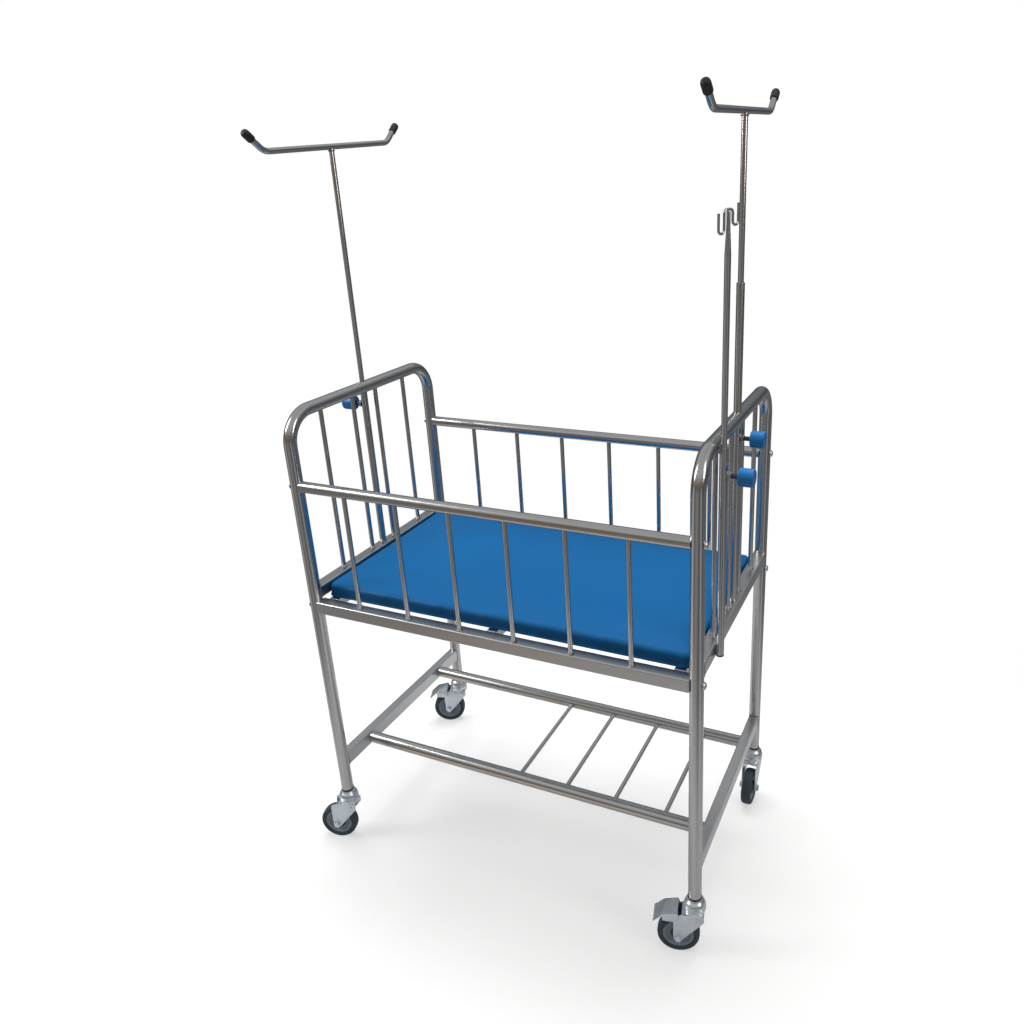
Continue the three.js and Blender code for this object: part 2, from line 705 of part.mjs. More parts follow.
function wheelHub() {
  const bore = AXLE_D / 2 + PIN_PLAY;
  const boss = FORK_GAP / 2 - SEAT_GAP;
  const rim = (rimR - SEAT_GAP) * facet;
  const half = WEB_W / 2;
  const hub = turned('y', [
    [bore, -boss],
    [bore + 5, -boss],
    [bore + 5, -half],
    [rimR - 8, -half],
    [rimR - 6, -half - 4],
    [rim, -half - 4],
    [rim, half + 4],
    [rimR - 6, half + 4],
    [rimR - 8, half],
    [bore + 5, half],
    [bore + 5, boss],
    [bore, boss],
    [bore, -boss],
  ], WHEEL_SIDES, true);
  return hub.translate([-TRAIL, 0, wheelR]);
}

function wheelTyre() {
  const inner = rimR * facet;
  const outer = wheelR * facet;
  const half = TYRE_W / 2;
  const tyre = turned('y', [
    [inner, 2 - half],
    [inner + 2.5, -half],
    [outer - 3, -half],
    [outer - 0.8, 2 - half],
    [outer, 5 - half],
    [outer, half - 5],
    [outer - 0.8, half - 2],
    [outer - 3, half],
    [inner + 2.5, half],
    [inner, half - 2],
    [inner, 2 - half],
  ], WHEEL_SIDES, true);
  return tyre.translate([-TRAIL, 0, wheelR]);
}

function axleBolt() {
  const r = AXLE_D / 2;
  const seat = forkOuter + SEAT_GAP;
  const end = seat + NUT_H;
  const bolt = turned('y', [
    [0, -end],
    [NUT_D / 2 - 1, -end],
    [NUT_D / 2, 1 - end],
    [NUT_D / 2, -seat],
    [r, -seat],
    [r, seat],
    [NUT_D / 2, seat],
    [NUT_D / 2, end - 1],
    [NUT_D / 2 - 1, end],
    [0, end],
  ], POLE_SIDES);
  return bolt.translate([-TRAIL, 0, wheelR]);
}

// Brake pedal: a channel over the fork with a toe bent down and a block above the tyre.
const pedalPivot = { x: -TRAIL - 4, z: crownZ - 6 };

function brakePedal() {
  const px = pedalPivot.x;
  const pz = pedalPivot.z;
  const at = (dx, dz) => new THREE.Vector2(px + dx, pz + dz);
  const flangeIn = forkOuter + SEAT_GAP + 0.2;
  const flangeOut = flangeIn + PEDAL_T;
  const top = new THREE.Shape([
    at(3, 14.5), at(-24, 8.6), at(-43.4, -8.2), at(-42, -9.7), at(-23.2, 6.5), at(3, 12.4),
  ]);
  const flange = new THREE.Shape([
    at(3, 13.4), at(-23.4, 7.6), at(-26, -6), at(-4, -8), at(5, -4), at(6, 4),
  ]);
  const shoe = new THREE.Shape([
    at(-12, 9.6), at(-23, 7.2), at(-28, -11), at(-16, -6),
  ]);
  const shoeHalf = FORK_GAP / 2 - 4;
  let pedal = plate(top, -flangeOut, flangeOut);
  pedal = pedal.add(plate(flange, flangeIn, flangeOut)).add(plate(flange, -flangeOut, -flangeIn));
  pedal = pedal.add(plate(shoe, -shoeHalf, shoeHalf));
  return pedal.add(bar('y', PEDAL_PIN_D / 2, -flangeOut, flangeOut, [px, 0, pz], POLE_SIDES));
}

for (const { name, sx } of ends) {
  add(bassinet, `end_arch_${name}`, endArch(sx), polished);
  add(bassinet, `end_grille_${name}`, endGrille(sx), polished);
  add(bassinet, `low_rail_${name}`, lowRail(sx), satin);
  add(bassinet, `pole_socket_${name}`, endSocket(sx), polished);
}
for (const { name, sy } of sides) {
  add(bassinet, `top_rail_${name}`, topRail(sy), polished);
  add(bassinet, `side_grille_${name}`, sideGrille(sy), satin);
}
add(bassinet, 'shelf_rack', shelfRack(), polished);
add(bassinet, 'bed_deck', bedDeck(), satin);
add(bassinet, 'mattress', solid(mattressGeometry()), blueVinyl);

const bolt = railBolt();
for (const end of ends) {
  for (const side of sides) {
    for (const [level, z] of [['upper', TOP_RAIL_AXIS_Z], ['lower', sideRailAxisZ]]) {
      const mesh = add(bassinet, `rail_bolt_${side.name}_${end.name}_${level}`, bolt, zinc);
      mesh.position.set(end.sx * legX, side.sy * legY, z);
      mesh.rotation.z = end.sx < 0 ? Math.PI : 0;
    }
  }
}

const cap = tipCap();
const tipAngle = Math.atan2(T_TIP_RISE, T_TIP_RUN);
const capSlide = CAP_GRIP - SEAT_GAP;
for (const { name, sx } of ends) {
  const topZ = sx < 0 ? T_POLE_LEFT_Z : T_POLE_RIGHT_Z;
  const lean = THREE.MathUtils.degToRad(sx < 0 ? T_LEAN_LEFT : T_LEAN_RIGHT);
  add(bassinet, `t_pole_${name}`, tPole(sx, topZ, lean), polished);
  for (const side of sides) {
    const mesh = add(bassinet, `t_pole_tip_${name}_${side.name}`, cap, blackRubber);
    const y = T_BEND_Y + T_TIP_RUN - capSlide * Math.cos(tipAngle);
    const rise = T_TIP_RISE - capSlide * Math.sin(tipAngle);
    mesh.position.copy(barPoint(sx * legX, side.sy * y, rise, topZ, lean));
    mesh.rotation.x = (side.sy > 0 ? tipAngle : Math.PI - tipAngle) + lean;
  }
}
add(bassinet, 'pole_socket_hook', hookSocket(), polished);
add(bassinet, 'pole_socket_hook_plug', hookSocketPlug(), blackRubber);
add(bassinet, 'hook_pole', hookPole(), polished);
add(bassinet, 'iv_hook', wireHook(), polished);

const knob = clampKnob();
const knobs = [
  { name: 'left', x: -legX, y: 0, z: ARCH_AXIS_Z - KNOB_DROP, turn: Math.PI },
  { name: 'right', x: legX, y: 0, z: ARCH_AXIS_Z - KNOB_DROP, turn: 0 },
  { name: 'hook', x: hookSocketX, y: hookSocketY, z: ARCH_AXIS_Z - HOOK_KNOB_DROP, turn: 0 },
];
for (const { name, x, y, z, turn } of knobs) {
  const mesh = add(bassinet, `clamp_knob_${name}`, knob, bluePlastic);
  mesh.position.set(x, y, z);
  mesh.rotation.z = turn;
}

// Each caster stands as it was left: its trail is turned about its own leg.
const casterParts = { stem: casterStem(), fork: casterFork(), hub: wheelHub(), tyre: wheelTyre(), axle: axleBolt() };
const pedal = brakePedal();
const casters = [
  { name: 'front_right', sx: 1, sy: -1, turn: 14, brake: true },
  { name: 'front_left', sx: -1, sy: -1, turn: 16, brake: false },
  { name: 'rear_left', sx: -1, sy: 1, turn: 24, brake: true },
  { name: 'rear_right', sx: 1, sy: 1, turn: 90, brake: false },
];
for (const { name, sx, sy, turn, brake } of casters) {
  const caster = new THREE.Group();
  caster.name = `caster_${name}`;
  caster.position.set(sx * legX, sy * legY, 0);
  caster.rotation.z = THREE.MathUtils.degToRad(turn);
  add(caster, `caster_stem_${name}`, casterParts.stem, zinc);
  add(caster, `caster_fork_${name}`, casterParts.fork, zinc);
  add(caster, `wheel_hub_${name}`, casterParts.hub, hubPlastic);
  add(caster, `wheel_tyre_${name}`, casterParts.tyre, tyreRubber);
  add(caster, `axle_bolt_${name}`, casterParts.axle, zinc);
  if (brake) {
    add(caster, `brake_pedal_${name}`, pedal, zinc);
  }
  bassinet.add(caster);
}

export default bassinet;
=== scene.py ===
"""Looks of the hospital bassinet: polished tube crib, vinyl mattress, drip poles and casters."""
import math

import bmesh
import bpy
from mathutils import Matrix, Vector


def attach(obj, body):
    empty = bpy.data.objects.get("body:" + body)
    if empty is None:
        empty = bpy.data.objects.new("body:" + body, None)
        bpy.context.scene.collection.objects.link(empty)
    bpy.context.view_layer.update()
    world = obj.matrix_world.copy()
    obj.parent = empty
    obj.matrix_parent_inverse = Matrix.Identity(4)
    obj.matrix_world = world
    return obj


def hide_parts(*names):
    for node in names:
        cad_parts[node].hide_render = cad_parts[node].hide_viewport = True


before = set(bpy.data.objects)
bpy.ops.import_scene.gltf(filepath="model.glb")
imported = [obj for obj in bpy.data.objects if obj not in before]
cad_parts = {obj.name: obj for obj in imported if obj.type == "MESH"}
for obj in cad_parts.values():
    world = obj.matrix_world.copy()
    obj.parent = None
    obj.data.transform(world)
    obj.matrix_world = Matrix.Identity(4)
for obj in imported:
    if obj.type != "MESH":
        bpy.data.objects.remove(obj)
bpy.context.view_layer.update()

# Sizes in millimetres, as the solids have them; a bite is how far one piece enters another
LEG_X, LEG_Y, LEG_R, FOOT_Z, LEG_BITE = 400, 230, 12.5, 128, 3
ARCH_Z, ARCH_BEND, ARCH_BITE = 986, 60, 2
RAIL_HALF, RAIL_EDGE_R, SIDE_RAIL_TOP, END_RAIL_TOP = 12.5, 2.2, 602, 630
ROD_R, ROD_FOOT, ROD_OUTSET, SIDE_RODS, END_ROD_Y = 4.5, 1, 5, 6, (38, 136)
TOP_RAIL_R, TOP_RAIL_Z, TOP_RAIL_BITE = 11, 847, 4
LOW_Z, LOW_HALF_W, LOW_HALF_H, LOW_EDGE_R = 205, 10, 15, 2.0
SEAM_R, SEAM_BEND, BOLT_SINK, SEAT = 1.3, 0.4, 0.6, 0.3
SHELF_Y, SHELF_R = 140, 12.5
SHELF_RODS, SHELF_ROD_X, SHELF_ROD_PITCH, SHELF_ROD_GAP = 4, -13, 107, 8
DECK_X, DECK_Y, DECK_SINK, DECK_RISE = 380, 195, 0.5, 2
SLAT_X, SLAT_HALF, SLAT_H = 366, 10, 20

# Mattress; its edge past the deck sags a little, and the last line holds the fill in bounds
PAD_X, PAD_Y, PAD_Z, PAD_H, PAD_SAG = 386.5, 211, 604.3, 26, 2
PAD_CROWN, PAD_TOP_R, PAD_BASE_R, PAD_CORNER, PAD_DRAW = 3.5, 9, 1.5, 16, 2
PAD_CELLS, PAD_FILL_STEPS = (110, 60, 12), 20
PAD_HELD, PAD_CAP, PAD_DIP, PAD_ROOM = 0.2, 2.5, 1, (0.4, 2.0)

# Poles
POLE_R, SOCKET_R, SOCKET_PLAY, BORE_DEPTH = 5, 7, 0.5, 40
RIGHT_SOCKET_TOP, HOOK_SOCKET_Z = 1217, END_RAIL_TOP - 18
NUT_SINK, KNOB_DROP, HOOK_KNOB_DROP = 0.5, 36, 47
T_Z = {"left": 1457, "right": 1477}
T_LEAN = {"left": math.radians(2.5), "right": math.radians(1.2)}
T_LENGTH, T_BEND_Y, T_TIP_RUN, T_TIP_RISE = 617, 177, 35, 29
T_BAR_R, T_BAR_BEND, TIP_CAP_RUN = 5.5, 32, 14.7
HOOK_X, HOOK_Y, HOOK_TURN = 419.8, -160, math.radians(60)
HOOK_TOP, HOOK_LENGTH, HOOK_TAPER, HOOK_NECK, HOOK_NECK_R = 1339, 549, 61, 21, 3
HOOK_PITCH, HOOK_U, HOOK_FRONT, HOOK_REAR = 28, 11, 33, 22
HOOK_FRONT_TIP, HOOK_REAR_TIP = 5, 8
WIRE_R, WIRE_BEND, WIRE_SEAT = 2.0, 5.3, 2.3

# Casters
TRAIL, WHEEL_R, CROWN_Z, CROWN_TOP, EYE_R = 30, 40, 93, 96, 9
FORK_FRONT, FORK_BACK, CHEEK_IN, CHEEK_OUT = 18, -24, 14, 16.5
PEDAL_X, PEDAL_Z, RIDGE_Z, RIDGE_PITCH = -34, 87, 104.9, 3

FLOOR_R = 1.5  # metres


def mm(*values):
    return Vector(values) * 0.001


# Shader maths
class Link:
    """A socket of a shader tree; sums and products of links add Math nodes."""

    def __init__(self, web, socket):
        self.web = web
        self.socket = socket

    def maths(self, operation, first, second):
        return self.web.node("ShaderNodeMath", {"operation": operation}, {0: first, 1: second})

    def __add__(self, other):
        return self.maths("ADD", self, other)

    __radd__ = __add__

    def __mul__(self, other):
        return self.maths("MULTIPLY", self, other)

    __rmul__ = __mul__

    def __sub__(self, other):
        return self.maths("SUBTRACT", self, other)

    def __rsub__(self, other):
        return self.maths("SUBTRACT", other, self)


class Web:
    """One shader tree and the method that adds its nodes."""

    def __init__(self, tree):
        self.tree = tree

    def node(self, kind, settings=None, sockets=None, out=0):
        made = self.tree.nodes.new(kind)
        for key, value in (settings or {}).items():
            if key == "stops":
                ramp = made.color_ramp.elements
                while len(ramp) < len(value):
                    ramp.new(0.5)
                for element, (place, colour) in zip(ramp, value):
                    element.position = place
                    element.color = colour
            else:
                setattr(made, key, value)
        for key, value in (sockets or {}).items():
            if isinstance(value, Link):
                self.tree.links.new(value.socket, made.inputs[key])
            else:
                made.inputs[key].default_value = value
        return Link(self, made.outputs[out])

    def place(self, scale=(1, 1, 1)):
        where = self.node("ShaderNodeTexCoord", out="Object")
        return self.node("ShaderNodeMapping", None, {"Vector": where, "Scale": scale})

    def noise(self, vector, scale, detail=2.0, rough=0.5):
        return self.node("ShaderNodeTexNoise", None,
                         {"Vector": vector, "Scale": scale, "Detail": detail, "Roughness": rough})

    def ramp(self, factor, *stops):
        return self.node("ShaderNodeValToRGB", {"stops": stops}, {0: factor})

    def blend(self, factor, first, second):
        return self.node("ShaderNodeMix", {"data_type": "RGBA"},
                         {0: factor, 6: first, 7: second}, out=2)

    def bump(self, height, strength, distance):
        return self.node("ShaderNodeBump", None,
                         {"Height": height, "Strength": strength, "Distance": distance})


def finish(name, paint, **fixed):
    """A material whose Principled sockets come from paint(web); fixed holds the constant ones."""
    material = bpy.data.materials.new(name)
    material.use_nodes = True
    web = Web(material.node_tree)
    shader = material.node_tree.nodes["Principled BSDF"]
    for key, value in fixed.items():
        shader.inputs[key.replace("_", " ")].default_value = value
    for key, value in paint(web).items():
        web.tree.links.new(value.socket, shader.inputs[key])
    return material


def grey(value, blue=0.0):
    return (value * (1 - blue), value, value * (1 + blue), 1)


def steel(name, grain, dark, light, low, high, grain_depth):
    """Stainless with polishing lines along one axis, cloudy handling marks and fine scratches."""

    def paint(web):
        lines = web.noise(web.place(grain), 1.0, 4.0, 0.6)
        cloud = web.noise(web.place(), 7.0, 3.0)
        marks = web.noise(web.place(), 60.0, 2.0)
        spots = web.ramp(marks, (0.62, (0, 0, 0, 1)), (0.72, (1, 1, 1, 1)))
        return {
            "Base Color": web.blend(cloud * 0.6 + lines * 0.4, dark, light),
            "Roughness": low + (high - low) * (lines * 0.55 + cloud * 0.35) + spots * 0.035,
            "Normal": web.bump(lines, grain_depth, 0.0004),
        }

    return finish(name, paint, Metallic=1.0)


ACROSS, ALONG = 450.0, 6.0
GRAIN = {axis: [ALONG if axis == a else ACROSS for a in "xyz"] for axis in "xyz"}
polished = {
    axis: steel(f"polished_tube_{axis}", grain, grey(0.46, 0.015), grey(0.60), 0.14, 0.27, 0.004)
    for axis, grain in GRAIN.items()
}
satin = {
    axis: steel(f"satin_section_{axis}", grain, grey(0.52, 0.03), grey(0.66, 0.02), 0.22, 0.40,
                0.02)
    for axis, grain in GRAIN.items()
}


def zinc_paint(web):
    crystal = web.node("ShaderNodeTexVoronoi", {"feature": "F1"},
                       {"Vector": web.place(), "Scale": 260.0}, out="Color")
    cloud = web.noise(web.place(), 40.0, 3.0)
    fine = web.noise(web.place(), 900.0, 2.0)
    tint = web.blend(cloud, (0.60, 0.67, 0.75, 1), (0.80, 0.86, 0.92, 1))
    return {
        "Base Color": web.blend(0.08, tint, crystal),
        "Roughness": 0.2 + cloud * 0.22,
        "Normal": web.bump(fine, 0.06, 0.0003),
    }


def weld_paint(web):
    ripple = web.noise(web.place(), 420.0, 3.0)
    heat = web.noise(web.place(), 90.0, 2.0)
    return {
        "Base Color": web.ramp(heat, (0.35, (0.16, 0.15, 0.15, 1)), (0.55, (0.34, 0.32, 0.3, 1)),
                               (0.75, (0.5, 0.49, 0.48, 1))),
        "Roughness": 0.34 + ripple * 0.3,
        "Normal": web.bump(ripple, 0.5, 0.0006),
    }


def vinyl_paint(web):
    pores = web.node("ShaderNodeTexVoronoi", {"feature": "DISTANCE_TO_EDGE"},
                     {"Vector": web.place(), "Scale": 700.0})
    pebble = web.noise(web.place(), 1500.0, 2.0)
    slack = web.noise(web.place((1.0, 1.4, 1.0)), 5.0, 2.0)
    cloud = web.noise(web.place(), 2.4, 2.0)
    return {
        "Base Color": web.blend(cloud, (0.0, 0.074, 0.215, 1), (0.0, 0.09, 0.25, 1)),
        "Roughness": 0.36 + slack * 0.16 + pebble * 0.05,
        "Normal": web.bump(pores * 0.6 + pebble * 0.3 + slack * 9.0, 0.22, 0.0005),
    }


def knob_paint(web):
    cloud = web.noise(web.place(), 30.0, 2.0)
    fine = web.noise(web.place(), 1400.0, 2.0)
    return {
        "Base Color": web.blend(cloud, (0.0, 0.12, 0.38, 1), (0.0, 0.17, 0.47, 1)),
        "Roughness": 0.3 + fine * 0.16,
        "Normal": web.bump(fine, 0.08, 0.0003),
    }


def moulded(name, dark, light, low):
    """Dusty rubber or matt plastic."""

    def paint(web):
        dust = web.noise(web.place(), 55.0, 4.0)
        fine = web.noise(web.place(), 1600.0, 2.0)
        return {
            "Base Color": web.blend(dust, dark, light),
            "Roughness": low + dust * 0.25,
            "Normal": web.bump(fine, 0.15, 0.0003),
        }

    return finish(name, paint)


stud_steel = steel("stud_steel", [ACROSS] * 3, grey(0.05), grey(0.14), 0.3, 0.5, 0.01)
zinc = finish("zinc_plate", zinc_paint, Metallic=1.0)
weld = finish("weld_seam", weld_paint, Metallic=1.0)
vinyl = finish("blue_vinyl", vinyl_paint, Coat_Weight=0.04, Coat_Roughness=0.2,
               Specular_IOR_Level=0.22)
knob_blue = finish("knob_blue", knob_paint, Coat_Weight=0.12, Coat_Roughness=0.2)
black = moulded("black_tip", (0.006, 0.006, 0.007, 1), (0.02, 0.02, 0.022, 1), 0.36)
tread = moulded("tyre_tread", (0.012, 0.022, 0.032, 1), (0.035, 0.065, 0.09, 1), 0.45)
rim_grey = moulded("rim_grey", (0.13, 0.18, 0.23, 1), (0.22, 0.28, 0.34, 1), 0.35)
bearing_dark = moulded("bearing_cover", (0.02, 0.026, 0.034, 1), (0.05, 0.058, 0.07, 1), 0.3)


# Node trees for tubes and rows
def new_tree(name, inputs):
    tree = bpy.data.node_groups.new(name, "GeometryNodeTree")
    tree.interface.new_socket("Geometry", in_out="INPUT", socket_type="NodeSocketGeometry")
    for label, kind in inputs:
        tree.interface.new_socket(label, in_out="INPUT", socket_type=kind)
    tree.interface.new_socket("Geometry", in_out="OUTPUT", socket_type="NodeSocketGeometry")
    given, result = tree.nodes.new("NodeGroupInput"), tree.nodes.new("NodeGroupOutput")
    return tree, given.outputs, result.inputs


def wire(tree, kind, settings=None, **sockets):
    made = tree.nodes.new(kind)
    for key, value in (settings or {}).items():
        setattr(made, key, value)
    for key, value in sockets.items():
        name = key.replace("_", " ")
        if isinstance(value, bpy.types.NodeSocket):
            tree.links.new(value, made.inputs[name])
        else:
            made.inputs[name].default_value = value
    return made.outputs


def close(tree, made, given, result):
    """Ends a tree: instances made real, the finish set, the mesh handed out."""
    whole = wire(tree, "GeometryNodeRealizeInstances", Geometry=made)["Geometry"]
    dressed = wire(tree, "GeometryNodeSetMaterial", Geometry=whole, Material=given["Finish"])
    tree.links.new(dressed["Geometry"], result["Geometry"])
    return tree


def tube_tree():
    tree, given, result = new_tree("bent_tube", [
        ("Radius", "NodeSocketFloat"), ("Bend", "NodeSocketFloat"), ("Facets", "NodeSocketInt"),
        ("Steps", "NodeSocketInt"), ("Finish", "NodeSocketMaterial"),
    ])
    path = wire(tree, "GeometryNodeMeshToCurve", Mesh=given["Geometry"])["Curve"]
    bent = wire(tree, "GeometryNodeFilletCurve", {"mode": "POLY"}, Curve=path,
                Radius=given["Bend"], Count=given["Steps"], Limit_Radius=True)["Curve"]
    section = wire(tree, "GeometryNodeCurvePrimitiveCircle", Resolution=given["Facets"],
                   Radius=given["Radius"])["Curve"]
    skin = wire(tree, "GeometryNodeCurveToMesh", Curve=bent, Profile_Curve=section,
                Fill_Caps=True)["Mesh"]
    return close(tree, skin, given, result)


def row_tree():
    tree, given, result = new_tree("row_of_pieces", [
        ("Piece", "NodeSocketObject"), ("Start", "NodeSocketVector"), ("Step", "NodeSocketVector"),
        ("Count", "NodeSocketInt"), ("Finish", "NodeSocketMaterial"),
    ])
    line = wire(tree, "GeometryNodeMeshLine", {"mode": "OFFSET"}, Count=given["Count"],
                Start_Location=given["Start"], Offset=given["Step"])["Mesh"]
    one = wire(tree, "GeometryNodeObjectInfo", Object=given["Piece"])["Geometry"]
    many = wire(tree, "GeometryNodeInstanceOnPoints", Points=line, Instance=one)["Instances"]
    return close(tree, many, given, result)


TUBE, ROW = tube_tree(), row_tree()


def grown(source, tree, values):
    """The mesh that a tree makes from a source object; the source is removed."""
    modifier = source.modifiers.new("grow", "NODES")
    modifier.node_group = tree
    for item in tree.interface.items_tree:
        if item.in_out == "INPUT" and item.name in values:
            modifier[item.identifier] = values[item.name]
    bpy.context.view_layer.update()
    graph = bpy.context.evaluated_depsgraph_get()
    mesh = bpy.data.meshes.new_from_object(source.evaluated_get(graph))
    bpy.data.objects.remove(source)
    return mesh


def loose(name, data):
    made = bpy.data.objects.new(name, data)
    bpy.context.scene.collection.objects.link(made)
    return made


def tube(points, radius, bend, material, closed=False, facets=40, steps=10):
    """Round tube mesh through millimetre points, its corners bent round."""
    path = bpy.data.meshes.new("path")
    count = len(points)
    edges = [(i, i + 1) for i in range(count - 1)] + ([(count - 1, 0)] if closed else [])
    path.from_pydata([mm(*p) for p in points], edges, [])
    return grown(loose("path", path), TUBE, {
        "Radius": radius * 0.001, "Bend": bend * 0.001, "Facets": facets, "Steps": steps,
        "Finish": material,
    })


def row(mesh, start, step, count, material):
    """Mesh of equal pieces along a line, in millimetres."""
    one = loose("one", mesh)
    base = bpy.data.meshes.new("base")
    base.from_pydata([(0, 0, 0)], [], [])
    made = grown(loose("base", base), ROW, {
        "Piece": one, "Start": mm(*start), "Step": mm(*step), "Count": count, "Finish": material,
    })
    bpy.data.objects.remove(one)
    return made


# Mesh makers
AXES = {
    "z": Matrix.Identity(4),
    "x": Matrix.Rotation(math.radians(90), 4, "Y"),
    "-x": Matrix.Rotation(math.radians(-90), 4, "Y"),
    "y": Matrix.Rotation(math.radians(-90), 4, "X"),
}
OUTWARD = {1: "x", -1: "-x"}
HALF_TURN = Matrix.Rotation(math.pi, 4, "X")
ROUND_SHARE = 0.45  # of a straight stretch, at most, goes into one round


def as_mesh(name, made):
    """The mesh of a bmesh, which is freed."""
    mesh = bpy.data.meshes.new(name)
    made.to_mesh(mesh)
    made.free()
    return mesh


def turned(profile, facets=48, axis="z", at=(0, 0, 0)):
    """Body of revolution from [radius, height] pairs, bottom to top round the outside."""
    made = bmesh.new()
    turns = [2 * math.pi * k / facets for k in range(facets)]
    rings = []
    for r, h in profile:
        if r < 1e-6:
            rings.append([made.verts.new(mm(0, 0, h))])
        else:
            rings.append([made.verts.new(mm(r * math.cos(a), r * math.sin(a), h)) for a in turns])
    for low, high in zip(rings, rings[1:]):
        for k in range(facets):
            n = (k + 1) % facets
            corners = [low[k % len(low)], low[n % len(low)],
                       high[n % len(high)], high[k % len(high)]]
            corners = [c for i, c in enumerate(corners) if c not in corners[:i]]
            if len(corners) > 2:
                made.faces.new(corners)
    made.transform(Matrix.Translation(mm(*at)) @ AXES[axis])
    return made


def rounded(points, corner, steps=4):
    """A profile with its inner corners rounded."""
    out = [points[0]]
    for before, here, after in zip(points, points[1:], points[2:]):
        p, q, s = Vector(before), Vector(here), Vector(after)
        reach = min(corner, (p - q).length * ROUND_SHARE, (s - q).length * ROUND_SHARE)
        a, b = q + (p - q).normalized() * reach, q + (s - q).normalized() * reach
        for k in range(steps + 1):
            t = k / steps
            out.append(tuple(a * (1 - t) ** 2 + q * 2 * t * (1 - t) + b * t ** 2))
    return out + [points[-1]]


def soften(made, radius, segments=3, angle=30):
    """Rounds the edges that are sharper than an angle."""
    sharp = [e for e in made.edges
             if len(e.link_faces) == 2 and e.calc_face_angle(0) > math.radians(angle)]
    bmesh.ops.bevel(made, geom=sharp, offset=radius * 0.001, segments=segments, profile=0.5,
                    affect="EDGES", clamp_overlap=True)
    return made


def section_bar(low, high, radius):
    """Square or flat section with rounded edges, between two millimetre corners."""
    made = bmesh.new()
    low, high = mm(*low), mm(*high)
    bmesh.ops.create_cube(made, size=1.0)
    made.transform(Matrix.Translation((low + high) / 2) @ Matrix.Diagonal((*(high - low), 1)))
    return soften(made, radius)


def cut_plate(outline, y0, y1, radius):
    """Sheet cut to an outline in X and Z, from y0 to y1, with broken edges."""
    made = bmesh.new()
    face = made.faces.new([made.verts.new(mm(x, y0, z)) for x, z in outline])
    grown_out = bmesh.ops.extrude_face_region(made, geom=[face])
    moved = [v for v in grown_out["geom"] if isinstance(v, bmesh.types.BMVert)]
    bmesh.ops.translate(made, vec=mm(0, y1 - y0, 0), verts=moved)
    bmesh.ops.recalc_face_normals(made, faces=made.faces[:])
    return soften(made, radius, 2)


def hexagon(across, height, axis="z", at=(0, 0, 0), chamfer=0.8):
    """Hexagon nut or head with a turned chamfer on its outer face."""
    r = across / math.sqrt(3)
    made = turned([(0, 0), (r, 0), (r, height - chamfer), (r - chamfer, height), (0, height)], 6)
    soften(made, 0.25, 2, 20)
    made.transform(Matrix.Translation(mm(*at)) @ AXES[axis])
    return made


def facing(made, sy):
    """Turns a piece made towards +Y round to its own side."""
    if sy < 0:
        made.transform(HALF_TURN)
    return made


def together(*parts):
    """One bmesh from several bmeshes or meshes."""
    made = bmesh.new()
    for part in parts:
        if isinstance(part, bmesh.types.BMesh):
            part = as_mesh("scratch", part)
        made.from_mesh(part)
        bpy.data.meshes.remove(part)
    return made


def piece(name, made, material, body="frame", nodes=(), place=None, crease=32):
    """A finished piece: placed, shaded, dressed and riding on its body."""
    mesh = as_mesh(name, made) if isinstance(made, bmesh.types.BMesh) else made
    mesh.name = name
    if place is not None:
        mesh.transform(place)
    mesh.materials.clear()
    mesh.materials.append(material)
    mesh.shade_smooth()
    mesh.set_sharp_from_angle(angle=math.radians(crease))
    mesh.update()
    obj = loose(name, mesh)
    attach(obj, body)
    if nodes:
        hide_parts(*nodes)


FLAT = 10  # crease that keeps the broad faces of square sections flat beside their rounded edges
BEAD_CREASE = 60
ENDS = (("left", -1), ("right", 1))
SIDES = (("front", -1), ("rear", 1))


# Rods and welds
def rod_mesh(length):
    profile = rounded([(0, 0), (ROD_R, 0), (ROD_R, length), (0, length)], 0.3, 2)
    return as_mesh("rod", turned(profile, 28))


def bead_mesh(radius):
    """Ring of weld round the foot of a rod, with slight ripples."""
    section = [(0, 0), (2.0, 0), (1.5, 0.9), (0.6, 1.9), (-0.2, 2.3)]
    made = turned([(radius + out, up) for out, up in section], 32)
    for v in made.verts:
        a = math.atan2(v.co.y, v.co.x)
        v.co = v.co * (1 + 0.05 * math.sin(9 * a) + 0.03 * math.sin(17 * a + 1))
    return as_mesh("bead", made)


def saddle_seam(sx, sy, half_w, low, high, inset):
    """Weld seam where a rail meets the round leg, a little inside the rail's outline."""
    half_w, low, high = half_w - inset, low + inset, high - inset
    xs = [half_w * math.sin(math.radians(t)) for t in range(-90, 91, 15)]
    rises = [(high - low) * k / 4 for k in (1, 2, 3)]
    ring = [(x, low) for x in xs] + [(half_w, low + rise) for rise in rises]
    ring += [(x, high) for x in reversed(xs)] + [(-half_w, high - rise) for rise in rises]
    points = []
    for x, z in ring:
        depth = math.sqrt(max(LEG_R ** 2 - x ** 2, 0))
        points.append((sx * LEG_X + x, sy * (LEG_Y - depth), z))
    return tube(points, SEAM_R, SEAM_BEND, weld, closed=True, facets=10, steps=2)


